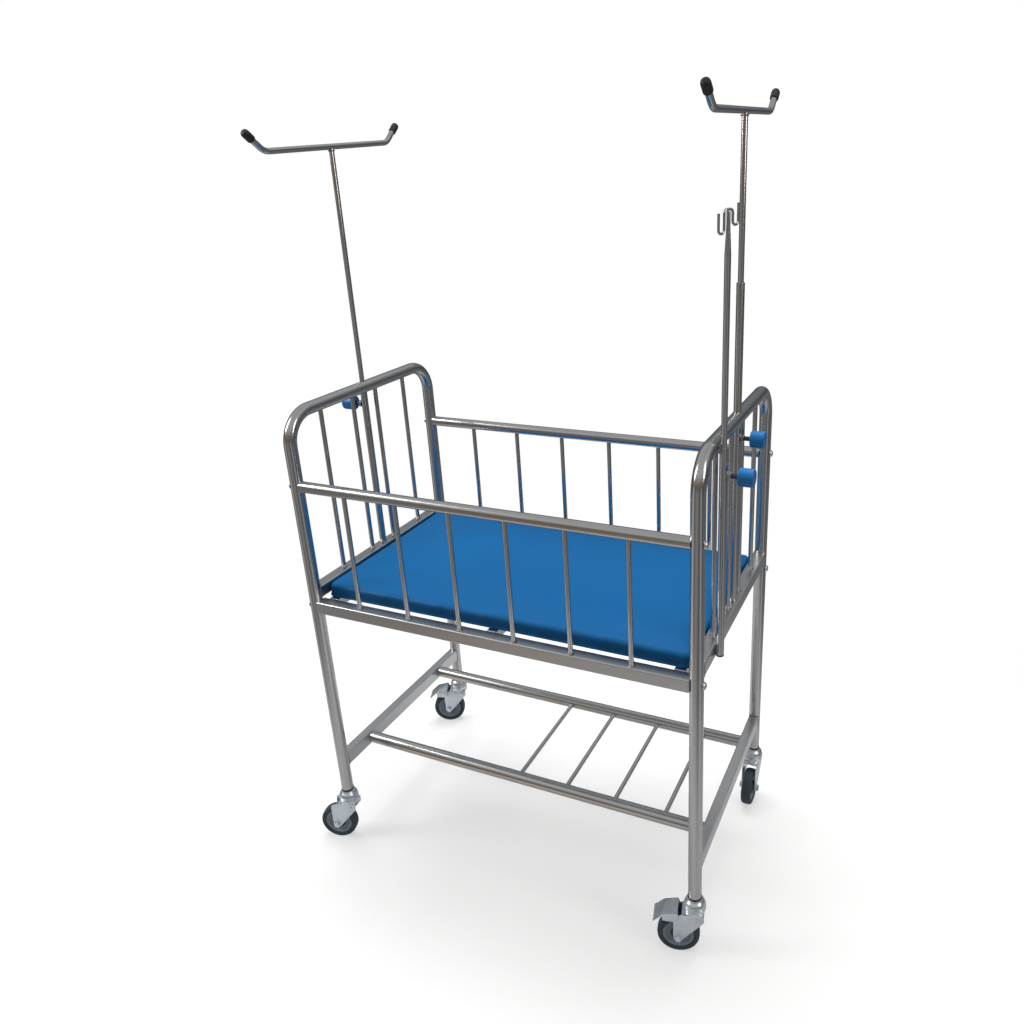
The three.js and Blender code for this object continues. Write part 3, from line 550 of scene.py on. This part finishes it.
# Frame
def end_frame(end, sx):
    """Bent arch, bed rail, low rail and rods of one end; returns its welds."""
    x, bed_low = sx * LEG_X, END_RAIL_TOP - 2 * RAIL_HALF
    low_z, high_z = LOW_Z - LOW_HALF_H, LOW_Z + LOW_HALF_H
    path = [(x, -LEG_Y, FOOT_Z), (x, -LEG_Y, ARCH_Z), (x, LEG_Y, ARCH_Z), (x, LEG_Y, FOOT_Z)]
    arch = tube(path, LEG_R, ARCH_BEND, polished["z"], facets=48, steps=20)
    piece(f"end_arch_{end}_tube", arch, polished["z"],
          nodes=[f"end_arch_{end}"])
    rail = section_bar((x - RAIL_HALF, -LEG_Y, bed_low), (x + RAIL_HALF, LEG_Y, END_RAIL_TOP),
                       RAIL_EDGE_R)
    piece(f"end_rail_{end}", rail, satin["y"],
          nodes=[f"end_grille_{end}"], crease=FLAT)
    low_rail = section_bar((x - LOW_HALF_W, -LEG_Y, low_z), (x + LOW_HALF_W, LEG_Y, high_z),
                           LOW_EDGE_R)
    piece(f"low_rail_{end}_section", low_rail, satin["y"],
          nodes=[f"low_rail_{end}"], crease=FLAT)
    height = ARCH_Z - LEG_R + ARCH_BITE - END_RAIL_TOP + ROD_FOOT
    near, far = END_ROD_Y
    step = (0, far - near, 0)
    rods, welds = [], []
    for y in (-far, near):
        foot = (x, y, END_RAIL_TOP - ROD_FOOT)
        rods.append(row(rod_mesh(height), foot, step, 2, polished["z"]))
        welds.append(row(bead_mesh(ROD_R), (x, y, END_RAIL_TOP), step, 2, weld))
    piece(f"end_rods_{end}", together(*rods), polished["z"])
    for _, sy in SIDES:
        welds.append(saddle_seam(sx, sy, RAIL_HALF, bed_low, END_RAIL_TOP, 0.6))
        welds.append(saddle_seam(sx, sy, LOW_HALF_W, low_z, high_z, 0.4))
    return welds


def side_frame(side, sy):
    """Top rail, bed rail and rods of one side; returns its welds."""
    y, reach = sy * LEG_Y, LEG_X - LEG_R + LEG_BITE
    path = [(-reach, y, TOP_RAIL_Z), (reach, y, TOP_RAIL_Z)]
    top = tube(path, TOP_RAIL_R, 0, polished["x"], facets=48)
    piece(f"top_rail_{side}_tube", top, polished["x"],
          nodes=[f"top_rail_{side}"])
    rail = section_bar((-reach, y - RAIL_HALF, SIDE_RAIL_TOP - 2 * RAIL_HALF),
                       (reach, y + RAIL_HALF, SIDE_RAIL_TOP), RAIL_EDGE_R)
    piece(f"side_rail_{side}", rail, satin["x"],
          nodes=[f"side_grille_{side}"], crease=FLAT)
    height = TOP_RAIL_Z - TOP_RAIL_R + TOP_RAIL_BITE - SIDE_RAIL_TOP + ROD_FOOT
    pitch = 2 * LEG_X / (SIDE_RODS + 1)
    rod_x, rod_y, step = pitch - LEG_X, y + sy * ROD_OUTSET, (pitch, 0, 0)
    foot = (rod_x, rod_y, SIDE_RAIL_TOP - ROD_FOOT)
    rods = row(rod_mesh(height), foot, step, SIDE_RODS, polished["z"])
    piece(f"side_rods_{side}", rods, polished["z"])
    return [row(bead_mesh(ROD_R), (rod_x, rod_y, SIDE_RAIL_TOP), step, SIDE_RODS, weld)]


BOLT_HEAD = [(0, -3), (4, -3), (4, 0), (7, 0), (7, 1.6), (6.2, 3.2), (4.6, 4.4), (3.0, 4.9),
             (2.6, 4.9), (2.4, 2.6), (0, 2.6)]


def rail_bolts(end, sx):
    """Button heads with a sunk socket, on the outer side of both legs."""
    heads = []
    for _, sy in SIDES:
        for z in (TOP_RAIL_Z, SIDE_RAIL_TOP - RAIL_HALF):
            at = (sx * (LEG_X + LEG_R - BOLT_SINK), sy * LEG_Y, z)
            heads.append(turned(BOLT_HEAD, 24, OUTWARD[sx], at))
    nodes = [f"rail_bolt_{s}_{end}_{level}" for s, _ in SIDES for level in ("upper", "lower")]
    piece(f"rail_bolts_{end}", together(*heads), zinc, nodes=nodes)


def shelf():
    reach = LEG_X - LOW_HALF_W - SEAT
    tubes = [tube([(-reach, sy * SHELF_Y, LOW_Z), (reach, sy * SHELF_Y, LOW_Z)], SHELF_R, 0,
                  polished["x"], facets=48) for _, sy in SIDES]
    piece("shelf_tubes", together(*tubes), polished["x"],
          nodes=["shelf_rack"])
    rod_end = SHELF_Y - SHELF_ROD_GAP
    cross = tube([(0, -rod_end, 0), (0, rod_end, 0)], ROD_R, 0, polished["y"], facets=28)
    rods = row(cross, (SHELF_ROD_X, 0, LOW_Z), (SHELF_ROD_PITCH, 0, 0), SHELF_RODS, polished["y"])
    piece("shelf_rods", rods, polished["y"])


def deck():
    """Sheet under the mattress on three cross slats."""
    parts = [section_bar((-DECK_X, -DECK_Y, SIDE_RAIL_TOP - DECK_SINK),
                         (DECK_X, DECK_Y, SIDE_RAIL_TOP + DECK_RISE), 0.5)]
    slat_y = LEG_Y - RAIL_HALF - SEAT
    for x in (-SLAT_X, 0, SLAT_X):
        parts.append(section_bar((x - SLAT_HALF, -slat_y, SIDE_RAIL_TOP - SLAT_H),
                                 (x + SLAT_HALF, slat_y, SIDE_RAIL_TOP), 1.6))
    piece("bed_deck_sheet", together(*parts), satin["y"],
          nodes=["bed_deck"], crease=FLAT)


# Mattress: a crowned pad with small edge rounds, filled by a cloth run
def pad_point(u, v, w):
    """Point of the pad's skin for a point on the faces of a cube from -1 to 1."""
    edge = PAD_TOP_R if w > 0 else PAD_BASE_R
    bend = max(0, abs(w) * 1.5 - 0.5) * math.pi / 2
    inset, drop = edge * (1 - math.cos(bend)), edge * (1 - math.sin(bend))
    reach = max(abs(u), abs(v), 1e-6)
    hx, hy, corner = PAD_X - inset, PAD_Y - inset, max(PAD_CORNER - inset, 1)
    x, y = u / reach * hx, v / reach * hy
    cx, cy = max(corner - hx, min(x, hx - corner)), max(corner - hy, min(y, hy - corner))
    out = math.hypot(x - cx, y - cy)
    hold = corner / out if out > corner else 1
    x, y = (cx + (x - cx) * hold) * reach, (cy + (y - cy) * hold) * reach
    a, b = x / PAD_X, y / PAD_Y
    x -= PAD_DRAW * a * math.cos(b * math.pi / 2)
    y -= PAD_DRAW * b * math.cos(a * math.pi / 2)
    if abs(w) <= 1 / 3:
        z = PAD_BASE_R + (PAD_H - PAD_TOP_R - PAD_BASE_R) * (w * 1.5 + 0.5)
    elif w > 0:
        z = PAD_H - drop + PAD_CROWN * (1 - a ** 4) * (1 - b ** 4) * math.sin(bend)
    else:
        z = drop
    past_deck = (abs(y) - DECK_Y) / (PAD_Y - PAD_DRAW - DECK_Y)
    return mm(x, y, PAD_Z + z - PAD_SAG * max(0, min(1, past_deck)))


def pad_skin():
    """Closed skin of quads, one sheet for each face of the cube."""
    made = bmesh.new()
    for axis in range(3):
        first, second = (axis + 1) % 3, (axis + 2) % 3
        for end in (-1, 1):
            sheet = []
            for i in range(PAD_CELLS[first] + 1):
                line = []
                for j in range(PAD_CELLS[second] + 1):
                    at = [0, 0, 0]
                    at[axis] = end
                    at[first] = i / PAD_CELLS[first] * 2 - 1
                    at[second] = j / PAD_CELLS[second] * 2 - 1
                    line.append(made.verts.new(pad_point(*at)))
                sheet.append(line)
            for near, far in zip(sheet, sheet[1:]):
                for j in range(PAD_CELLS[second]):
                    made.faces.new((near[j], far[j], far[j + 1], near[j + 1]))
    bmesh.ops.remove_doubles(made, verts=made.verts[:], dist=1e-6)
    bmesh.ops.recalc_face_normals(made, faces=made.faces[:])
    return as_mesh("mattress_vinyl", made)


def bake_modifiers(obj):
    graph = bpy.context.evaluated_depsgraph_get()
    mesh = bpy.data.meshes.new_from_object(obj.evaluated_get(graph))
    obj.modifiers.clear()
    old, obj.data = obj.data, mesh
    bpy.data.meshes.remove(old)


def fill_pad(obj):
    """Short cloth run under pressure, with the base held and the movement capped."""
    rest = [v.co.copy() for v in obj.data.vertices]
    base = obj.vertex_groups.new(name="base")
    held = [i for i, co in enumerate(rest) if co.z < (PAD_Z + PAD_HELD) * 0.001]
    base.add(held, 1.0, "REPLACE")
    cloth = obj.modifiers.new("fill", "CLOTH")
    cloth.settings.quality = 4
    cloth.settings.mass = 0.4
    cloth.settings.tension_stiffness = 25
    cloth.settings.compression_stiffness = 25
    cloth.settings.bending_stiffness = 2.0
    cloth.settings.use_pressure = True
    cloth.settings.uniform_pressure_force = 4
    cloth.settings.effector_weights.gravity = 0
    cloth.settings.vertex_group_mass = "base"
    cloth.point_cache.frame_start = 1
    cloth.point_cache.frame_end = PAD_FILL_STEPS
    scene = bpy.context.scene
    for step in range(1, PAD_FILL_STEPS + 1):
        scene.frame_set(step)
    bake_modifiers(obj)
    scene.frame_set(1)
    obj.vertex_groups.clear()
    limit = mm(PAD_X + PAD_ROOM[0], PAD_Y + PAD_ROOM[1])
    for v, old in zip(obj.data.vertices, rest):
        move = v.co - old
        co = old + move * min(1.0, PAD_CAP * 0.001 / max(move.length, 1e-9))
        v.co = (max(-limit.x, min(co.x, limit.x)), max(-limit.y, min(co.y, limit.y)),
                max(co.z, old.z - PAD_DIP * 0.001))


def mattress():
    obj = loose("mattress_vinyl", pad_skin())
    fill_pad(obj)
    obj.data.materials.append(vinyl)
    smooth = obj.modifiers.new("smooth", "SUBSURF")
    smooth.levels = smooth.render_levels = 1
    bake_modifiers(obj)
    obj.data.shade_smooth()
    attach(obj, "frame")
    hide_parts("mattress")


# Drip poles, sockets and knobs: side, outward sign, place, foot, top and height of the screw
SOCKETS = (
    ("left", -1, -LEG_X, 0, END_RAIL_TOP + SEAT, ARCH_Z - LEG_R + ARCH_BITE, ARCH_Z - KNOB_DROP),
    ("right", 1, LEG_X, 0, END_RAIL_TOP + SEAT, RIGHT_SOCKET_TOP, ARCH_Z - KNOB_DROP),
    ("hook", 1, HOOK_X, HOOK_Y, HOOK_SOCKET_Z, ARCH_Z, ARCH_Z - HOOK_KNOB_DROP),
)
PLUG = rounded([(0, -3), (6.8, -3), (7, -1), (7, 0), (5.2, 0), (5.2, 12), (0, 12)], 0.8)
KNOB_GRIP = rounded([(0, 24.5), (6.5, 24.5), (7, 25), (14.4, 25), (15, 28), (15, 50), (10.8, 50),
                     (10.2, 49.3), (0, 49.3)], 2.6, 5)
KNOB_STUD = [(0, 5.3), (4, 5.3), (4, 26), (0, 26)]
TIP_CAP = rounded([(5.6, 0), (7.0, 0), (7.5, 2), (7.5, 17), (6.2, 20.6), (3.4, 22), (0, 22)],
                  1.6, 4)


def pole_socket(side, sx, x, y, foot, top, screw_z):
    """Sleeve for a pole, with a welded nut for the knob's screw."""
    bore = POLE_R + SOCKET_PLAY
    profile = [(bore, foot), (SOCKET_R, foot), (SOCKET_R, top), (bore, top),
               (bore, top - BORE_DEPTH)]
    sleeve = turned(rounded(profile, 0.6, 3), 40, "z", (x, y, 0))
    nut = hexagon(13, 6.4, OUTWARD[sx], (x + sx * (SOCKET_R - NUT_SINK), y, screw_z))
    piece(f"socket_{side}", together(sleeve, nut), polished["z"],
          nodes=[f"pole_socket_{side}"])


def clamp_knob(side, sx, x, y, z):
    name = f"clamp_knob_{side}"
    piece(f"{name}_grip", turned(KNOB_GRIP, 64, OUTWARD[sx], (x, y, z)), knob_blue, body=name,
          nodes=[name])
    piece(f"{name}_stud", turned(KNOB_STUD, 24, OUTWARD[sx], (x, y, z)), stud_steel, body=name)


def t_pole(end, sx):
    """Upright pole under a leaning T-bar with black tips."""
    x, z, lean, body = sx * LEG_X, T_Z[end], T_LEAN[end], f"t_pole_{end}"

    def on_bar(y, rise):
        return (x, y * math.cos(lean) - rise * math.sin(lean),
                z + y * math.sin(lean) + rise * math.cos(lean))

    tip_y, slope = T_BEND_Y + T_TIP_RUN, math.atan2(T_TIP_RISE, T_TIP_RUN)
    path = [on_bar(-tip_y, T_TIP_RISE), on_bar(-T_BEND_Y, 0), on_bar(T_BEND_Y, 0),
            on_bar(tip_y, T_TIP_RISE)]
    cross_bar = tube(path, T_BAR_R, T_BAR_BEND, polished["y"], facets=32)
    piece(f"{body}_cross_bar", cross_bar, polished["y"], body=body,
          nodes=[body])
    foot = z - T_LENGTH
    profile = rounded([(0, foot), (POLE_R, foot), (POLE_R, z), (0, z)], 0.6)
    piece(f"{body}_upright", turned(profile, 32, "z", (x, 0, 0)), polished["z"], body=body)
    for side, sy in SIDES:
        at = on_bar(sy * (tip_y - TIP_CAP_RUN * math.cos(slope)),
                    T_TIP_RISE - TIP_CAP_RUN * math.sin(slope))
        turn = Matrix.Rotation(lean - sy * (math.pi / 2 - slope), 4, "X")
        piece(f"t_pole_cap_{end}_{side}", turned(TIP_CAP, 40), black, body=body,
              nodes=[f"t_pole_tip_{end}_{side}"],
              place=Matrix.Translation(mm(*at)) @ turn)
    collar = bead_mesh(POLE_R)
    collar.transform(Matrix.Translation(mm(x, 0, z - T_BAR_R - 1)) @ HALF_TURN)
    piece(f"{body}_weld", collar, weld, body=body, crease=BEAD_CREASE)


def hook_pole():
    """Pole with a tapered neck and a bent wire double hook on top."""
    foot, taper, neck = HOOK_TOP - HOOK_LENGTH, HOOK_TOP - HOOK_TAPER, HOOK_TOP - HOOK_NECK
    profile = [(0, foot), (POLE_R, foot), (POLE_R, taper), (HOOK_NECK_R, neck),
               (HOOK_NECK_R, HOOK_TOP), (0, HOOK_TOP)]
    shaft = turned(rounded(profile, 1.0), 32, "z", (HOOK_X, HOOK_Y, 0))
    piece("hook_pole_shaft", shaft, polished["z"], body="hook_pole",
          nodes=["hook_pole"])
    near, far = (HOOK_PITCH - HOOK_U) / 2, (HOOK_PITCH + HOOK_U) / 2
    outline = [(-far, -HOOK_FRONT_TIP), (-far, -HOOK_FRONT), (-near, -HOOK_FRONT), (-near, 0),
               (near, 0), (near, -HOOK_REAR), (far, -HOOK_REAR), (far, HOOK_REAR_TIP)]
    path = [(HOOK_X + d * math.cos(HOOK_TURN), HOOK_Y + d * math.sin(HOOK_TURN),
             HOOK_TOP + WIRE_SEAT + rise) for d, rise in outline]
    piece("wire_hook", tube(path, WIRE_R, WIRE_BEND, polished["z"], facets=20, steps=8),
          polished["z"], body="hook_pole", nodes=["iv_hook"])


# Casters, made round the leg's axis with the wheel trailing towards -X
CASTERS = (("front_right", 1, -1, 14, True), ("front_left", -1, -1, 16, False),
           ("rear_left", -1, 1, 24, True), ("rear_right", 1, 1, 90, False))
RIDGES = [(r, RIDGE_Z + RIDGE_PITCH * k + up) for k in range(3)
          for r, up in ((20.9, 0), (20.9, 1.5), (19.3, 2.0), (19.3, 2.6))]
STEM = rounded([(0, 88.7), (8, 88.7), (9, 89.7), (9, 92.7), (5, 92.7), (5, 104.3), (20, 104.3)]
               + RIDGES + [(20.4, 114.4), (18.2, 120), (13.2, 124.8), (12.5, 127.7),
                           (10.5, 127.7), (10.5, 150), (0, 150)], 1.8, 4)
FOOT_RING = rounded([(12.3, 127.7), (13.4, 127.7), (13.4, 131.5), (12.3, 132.3)], 0.5, 2)
TYRE = rounded([(30.2, -9), (32.8, -11), (37, -11), (39.4, -9), (40.2, -5), (40.2, 5), (39.4, 9),
                (37, 11), (32.8, 11), (30.2, 9), (30.2, -9)], 1.5, 4)
RIM = rounded([(4.3, -8), (9.5, -8), (21, -5.6), (24, -9), (29.9, -9), (29.9, 9), (24, 9),
               (21, 5.6), (9.5, 8), (4.3, 8), (4.3, -8)], 1.2, 3)
COVER = rounded([(4.3, -12.6), (12, -12.6), (15.5, -9), (15.5, 9), (12, 12.6), (4.3, 12.6)],
                1.4, 3)
RACE = rounded([(5.3, 95), (19, 95), (19, 104), (5.3, 104), (5.3, 95)], 1.6, 4)
RIVET = [(0, 0), (4.2, 0), (3.8, 1.2), (2.4, 1.9), (0, 2.1)]
WASHER = rounded([(4, 16.6), (7.4, 16.6), (7.4, 17.6), (4, 17.6)], 0.3, 2)
PEDAL_PIN = rounded([(0, -20.2), (3, -20.2), (4.4, -19), (3, -19), (3, 19), (4.4, 19), (3, 20.2),
                     (0, 20.2)], 0.3, 2)
AT_AXLE = Matrix.Translation(mm(-TRAIL, 0, WHEEL_R))


def caster_fork():
    """Two cheeks under a crown plate, with the bearing race on top and a rivet each side."""
    eye = [(EYE_R * math.cos(math.radians(t)) - TRAIL, EYE_R * math.sin(math.radians(t)) + WHEEL_R)
           for t in range(180, 325, 12)]
    cheek = [(FORK_FRONT, CROWN_TOP), (FORK_BACK, CROWN_TOP), (-38, 90.5), (-39, 80)]
    cheek += eye + [(FORK_FRONT, 82)]
    parts = [cut_plate(cheek, CHEEK_IN, CHEEK_OUT, 0.5),
             cut_plate(cheek, -CHEEK_OUT, -CHEEK_IN, 0.5)]
    crown_y = CHEEK_OUT - 0.1
    parts.append(section_bar((FORK_BACK, -crown_y, CROWN_Z), (FORK_FRONT, crown_y, CROWN_TOP), 1.0))
    parts.append(turned(RACE))
    for sy in (-1, 1):
        rivet = facing(turned(RIVET, 20, "y"), sy)
        rivet.transform(Matrix.Translation(mm(8, sy * (CHEEK_OUT - 0.2), 87)))
        parts.append(rivet)
    return together(*parts)


def axle_bolt():
    """Shank with a washer and a hexagon at each end."""
    parts = [turned([(0, -21), (4, -21), (4, 21), (0, 21)], 24, "y")]
    for sy in (-1, 1):
        parts.append(facing(turned(WASHER, 32, "y"), sy))
        parts.append(facing(hexagon(12.1, 4.2, "y", (0, 17.5, 0)), sy))
    made = together(*parts)
    made.transform(AT_AXLE)
    return made


def brake_pedal():
    """Bent sheet with side flanges, a shoe over the tyre, a pin and four grip ribs."""

    def outline(*pairs):
        return [(PEDAL_X + dx, PEDAL_Z + dz) for dx, dz in pairs]

    top = outline((3, 14.5), (-22, 9.1), (-25, 7.7), (-43.4, -8.2), (-42, -9.7), (-24.1, 5.8),
                  (-21.6, 6.9), (3, 12.4))
    flange = outline((3, 13.4), (-23.4, 7.6), (-26, -6), (-4, -8), (5, -4), (6, 4))
    shoe = outline((-12, 9.6), (-23, 7.2), (-28, -11), (-16, -6))
    parts = [cut_plate(top, -19, 19, 0.5), cut_plate(flange, 17, 19, 0.4),
             cut_plate(flange, -19, -17, 0.4), cut_plate(shoe, -10, 10, 0.8),
             turned(PEDAL_PIN, 20, "y", (PEDAL_X, 0, PEDAL_Z))]
    slope = Matrix.Rotation(-math.atan2(15.9, 18.4), 4, "Y")
    for k in range(4):
        rib = section_bar((-1.2, -14, 0), (1.2, 14, 1.0), 0.4)
        where = mm(PEDAL_X - 29.9 - 3.2 * k, 0, PEDAL_Z + 3.3 - 2.77 * k)
        rib.transform(Matrix.Translation(where) @ slope)
        parts.append(rib)
    return together(*parts)


def caster(name, sx, sy, turn, braked):
    """One caster, turned as it stands in the photograph."""
    leg = Matrix.Translation(mm(sx * LEG_X, sy * LEG_Y, 0))
    place = leg @ Matrix.Rotation(math.radians(turn), 4, "Z")
    body, wheel = f"caster_{name}", f"wheel_{name}"
    piece(f"stem_cup_{name}", turned(STEM, 64), zinc,
          nodes=[f"caster_stem_{name}"], place=place)
    piece(f"foot_ring_{name}", turned(FOOT_RING), black, place=place)
    piece(f"fork_{name}", caster_fork(), zinc, body=body,
          nodes=[f"caster_fork_{name}"], place=place)
    piece(f"axle_{name}", axle_bolt(), zinc, body=body,
          nodes=[f"axle_bolt_{name}"], place=place)
    piece(f"tyre_{name}", turned(TYRE, 96, "y"), tread, body=wheel,
          nodes=[f"wheel_tyre_{name}"], place=place @ AT_AXLE)
    piece(f"rim_{name}", turned(RIM, 72, "y"), rim_grey, body=wheel,
          nodes=[f"wheel_hub_{name}"], place=place @ AT_AXLE)
    piece(f"bearing_{name}", turned(COVER, 48, "y"), bearing_dark, body=wheel,
          place=place @ AT_AXLE)
    if braked:
        piece(f"pedal_{name}", brake_pedal(), zinc, body=f"brake_{name}",
              nodes=[f"brake_pedal_{name}"], place=place)


# Floor, light and camera
def floor():
    """Pale disc that fades out towards its rim."""
    turns = [math.radians(t) for t in range(0, 360, 5)]
    around = [(FLOOR_R * math.cos(a), FLOOR_R * math.sin(a), 0) for a in turns]
    mesh = bpy.data.meshes.new("floor")
    mesh.from_pydata(around, [], [range(len(around))])

    def paint(web):
        away = web.node("ShaderNodeVectorMath", {"operation": "LENGTH"}, {0: web.place()},
                        out="Value")
        return {
            "Roughness": 0.75 + web.noise(web.place(), 3.0) * 0.1,
            "Alpha": web.ramp(away * (1 / FLOOR_R), (0.30, grey(0.5)), (0.90, grey(0))),
        }

    mesh.materials.append(finish("pale_floor", paint, Base_Color=(0.9, 0.9, 0.9, 1)))
    loose("floor", mesh)


def room():
    """Soft studio walls for the steel to mirror, plain white behind the object."""
    world = bpy.data.worlds.new("studio")
    world.use_nodes = True
    bpy.context.scene.world = world
    web = Web(world.node_tree)
    way = web.node("ShaderNodeTexCoord", out="Generated")
    side, back, up = (web.node("ShaderNodeSeparateXYZ", None, {0: way}, out=axis) * 0.5 + 0.5
                      for axis in "XYZ")
    brown = (0.25, 0.18, 0.12, 1)
    rear_wall = web.ramp(
        up, (0.0, grey(0.22)), (0.40, grey(0.16)), (0.50, grey(0.07, 0.2)),
        (0.60, grey(0.2, 0.05)), (0.72, grey(0.26, 0.04)), (0.82, grey(0.55)), (1.0, grey(0.5)))
    front_low = web.ramp(
        side, (0.0, grey(0.05, 0.1)), (0.10, grey(0.7)), (0.16, grey(0.2, 0.08)), (0.28, brown),
        (0.46, grey(0.32, 0.06)), (0.55, grey(0.28, 0.06)), (0.64, brown),
        (0.74, grey(0.16, 0.08)), (0.83, grey(0.13, 0.08)), (0.89, grey(0.6)),
        (0.94, grey(0.1, 0.1)))
    front_high = web.ramp(
        up, (0.5, (0.12, 0.1, 0.08, 1)), (0.62, brown), (0.72, grey(0.4)), (0.82, grey(0.55)),
        (1.0, grey(0.5)))
    horizon = web.ramp(up, (0.47, grey(0)), (0.55, grey(1)))
    front_wall = web.blend(horizon, front_low, front_high)
    walls = web.blend(web.ramp(back, (0.35, grey(0)), (0.6, grey(1))), front_wall, rear_wall)
    seen = web.node("ShaderNodeLightPath", out="Is Camera Ray")
    shade = web.blend(seen, walls, (1.0, 1.0, 1.0, 1))
    web.tree.links.new(shade.socket, web.tree.nodes["Background"].inputs["Color"])
    bpy.context.scene.view_settings.view_transform = "Standard"


def lamp(name, at, aim, size, power, colour=(1, 1, 1), mirrored=True):
    """Rectangular soft light, in metres and watts."""
    data = bpy.data.lights.new(name, "AREA")
    data.shape = "RECTANGLE"
    data.size, data.size_y = size
    data.energy = power
    data.color = colour
    made = loose(name, data)
    made.location = at
    made.visible_glossy = mirrored
    made.rotation_euler = (Vector(aim) - Vector(at)).to_track_quat("-Z", "Y").to_euler()


def camera():
    """The photograph's view: focal length and centre in its pixels, place in millimetres."""
    frame_w, sensor = 1024, 36
    focal, centre, place = 847.6, (587.6, 477.3), (746.2, -1391.4, 1411.3)
    azimuth, elevation, roll = (math.radians(v) for v in (24.56, 20.39, 2.28))
    level = math.cos(elevation)
    ahead = Vector((-math.sin(azimuth) * level, math.cos(azimuth) * level, -math.sin(elevation)))
    right = ahead.cross(Vector((0, 0, 1))).normalized()
    down = ahead.cross(right)
    across = right * math.cos(roll) + down * math.sin(roll)
    below = down * math.cos(roll) - right * math.sin(roll)
    data = bpy.data.cameras.new("view")
    data.sensor_fit = "HORIZONTAL"
    data.sensor_width = sensor
    data.lens = focal / frame_w * sensor
    data.shift_x = (frame_w / 2 - centre[0]) / frame_w
    data.shift_y = (centre[1] - frame_w / 2) / frame_w
    data.clip_end = 60
    made = loose("view", data)
    turn = Matrix((across, -below, -ahead)).transposed().to_4x4()
    made.matrix_world = Matrix.Translation(mm(*place)) @ turn
    bpy.context.scene.camera = made


welds = []
for end in ENDS:
    welds += end_frame(*end)
for side in SIDES:
    welds += side_frame(*side)
piece("weld_seams", together(*welds), weld, crease=BEAD_CREASE)
for end in ENDS:
    rail_bolts(*end)
shelf()
deck()
mattress()
for socket in SOCKETS:
    pole_socket(*socket)
piece("socket_end_plug", turned(PLUG, 40, "z", (HOOK_X, HOOK_Y, HOOK_SOCKET_Z - SEAT)), black,
      nodes=["pole_socket_hook_plug"])
for side, sx, x, y, _, _, screw_z in SOCKETS:
    clamp_knob(side, sx, x, y, screw_z)
for end in ENDS:
    t_pole(*end)
hook_pole()
for one in CASTERS:
    caster(*one)
floor()
room()
lamp("overhead", (-0.3, 0.7, 3.4), (0, 0, 0.5), (2.6, 1.8), 120, mirrored=False)
lamp("left", (-2.6, -1.4, 2.6), (0, 0, 0.6), (0.8, 1.6), 42)
lamp("right", (2.6, -0.6, 2.2), (0, 0, 0.6), (0.5, 1.6), 16, (1.0, 0.93, 0.86))
camera()

bpy.context.view_layer.update()
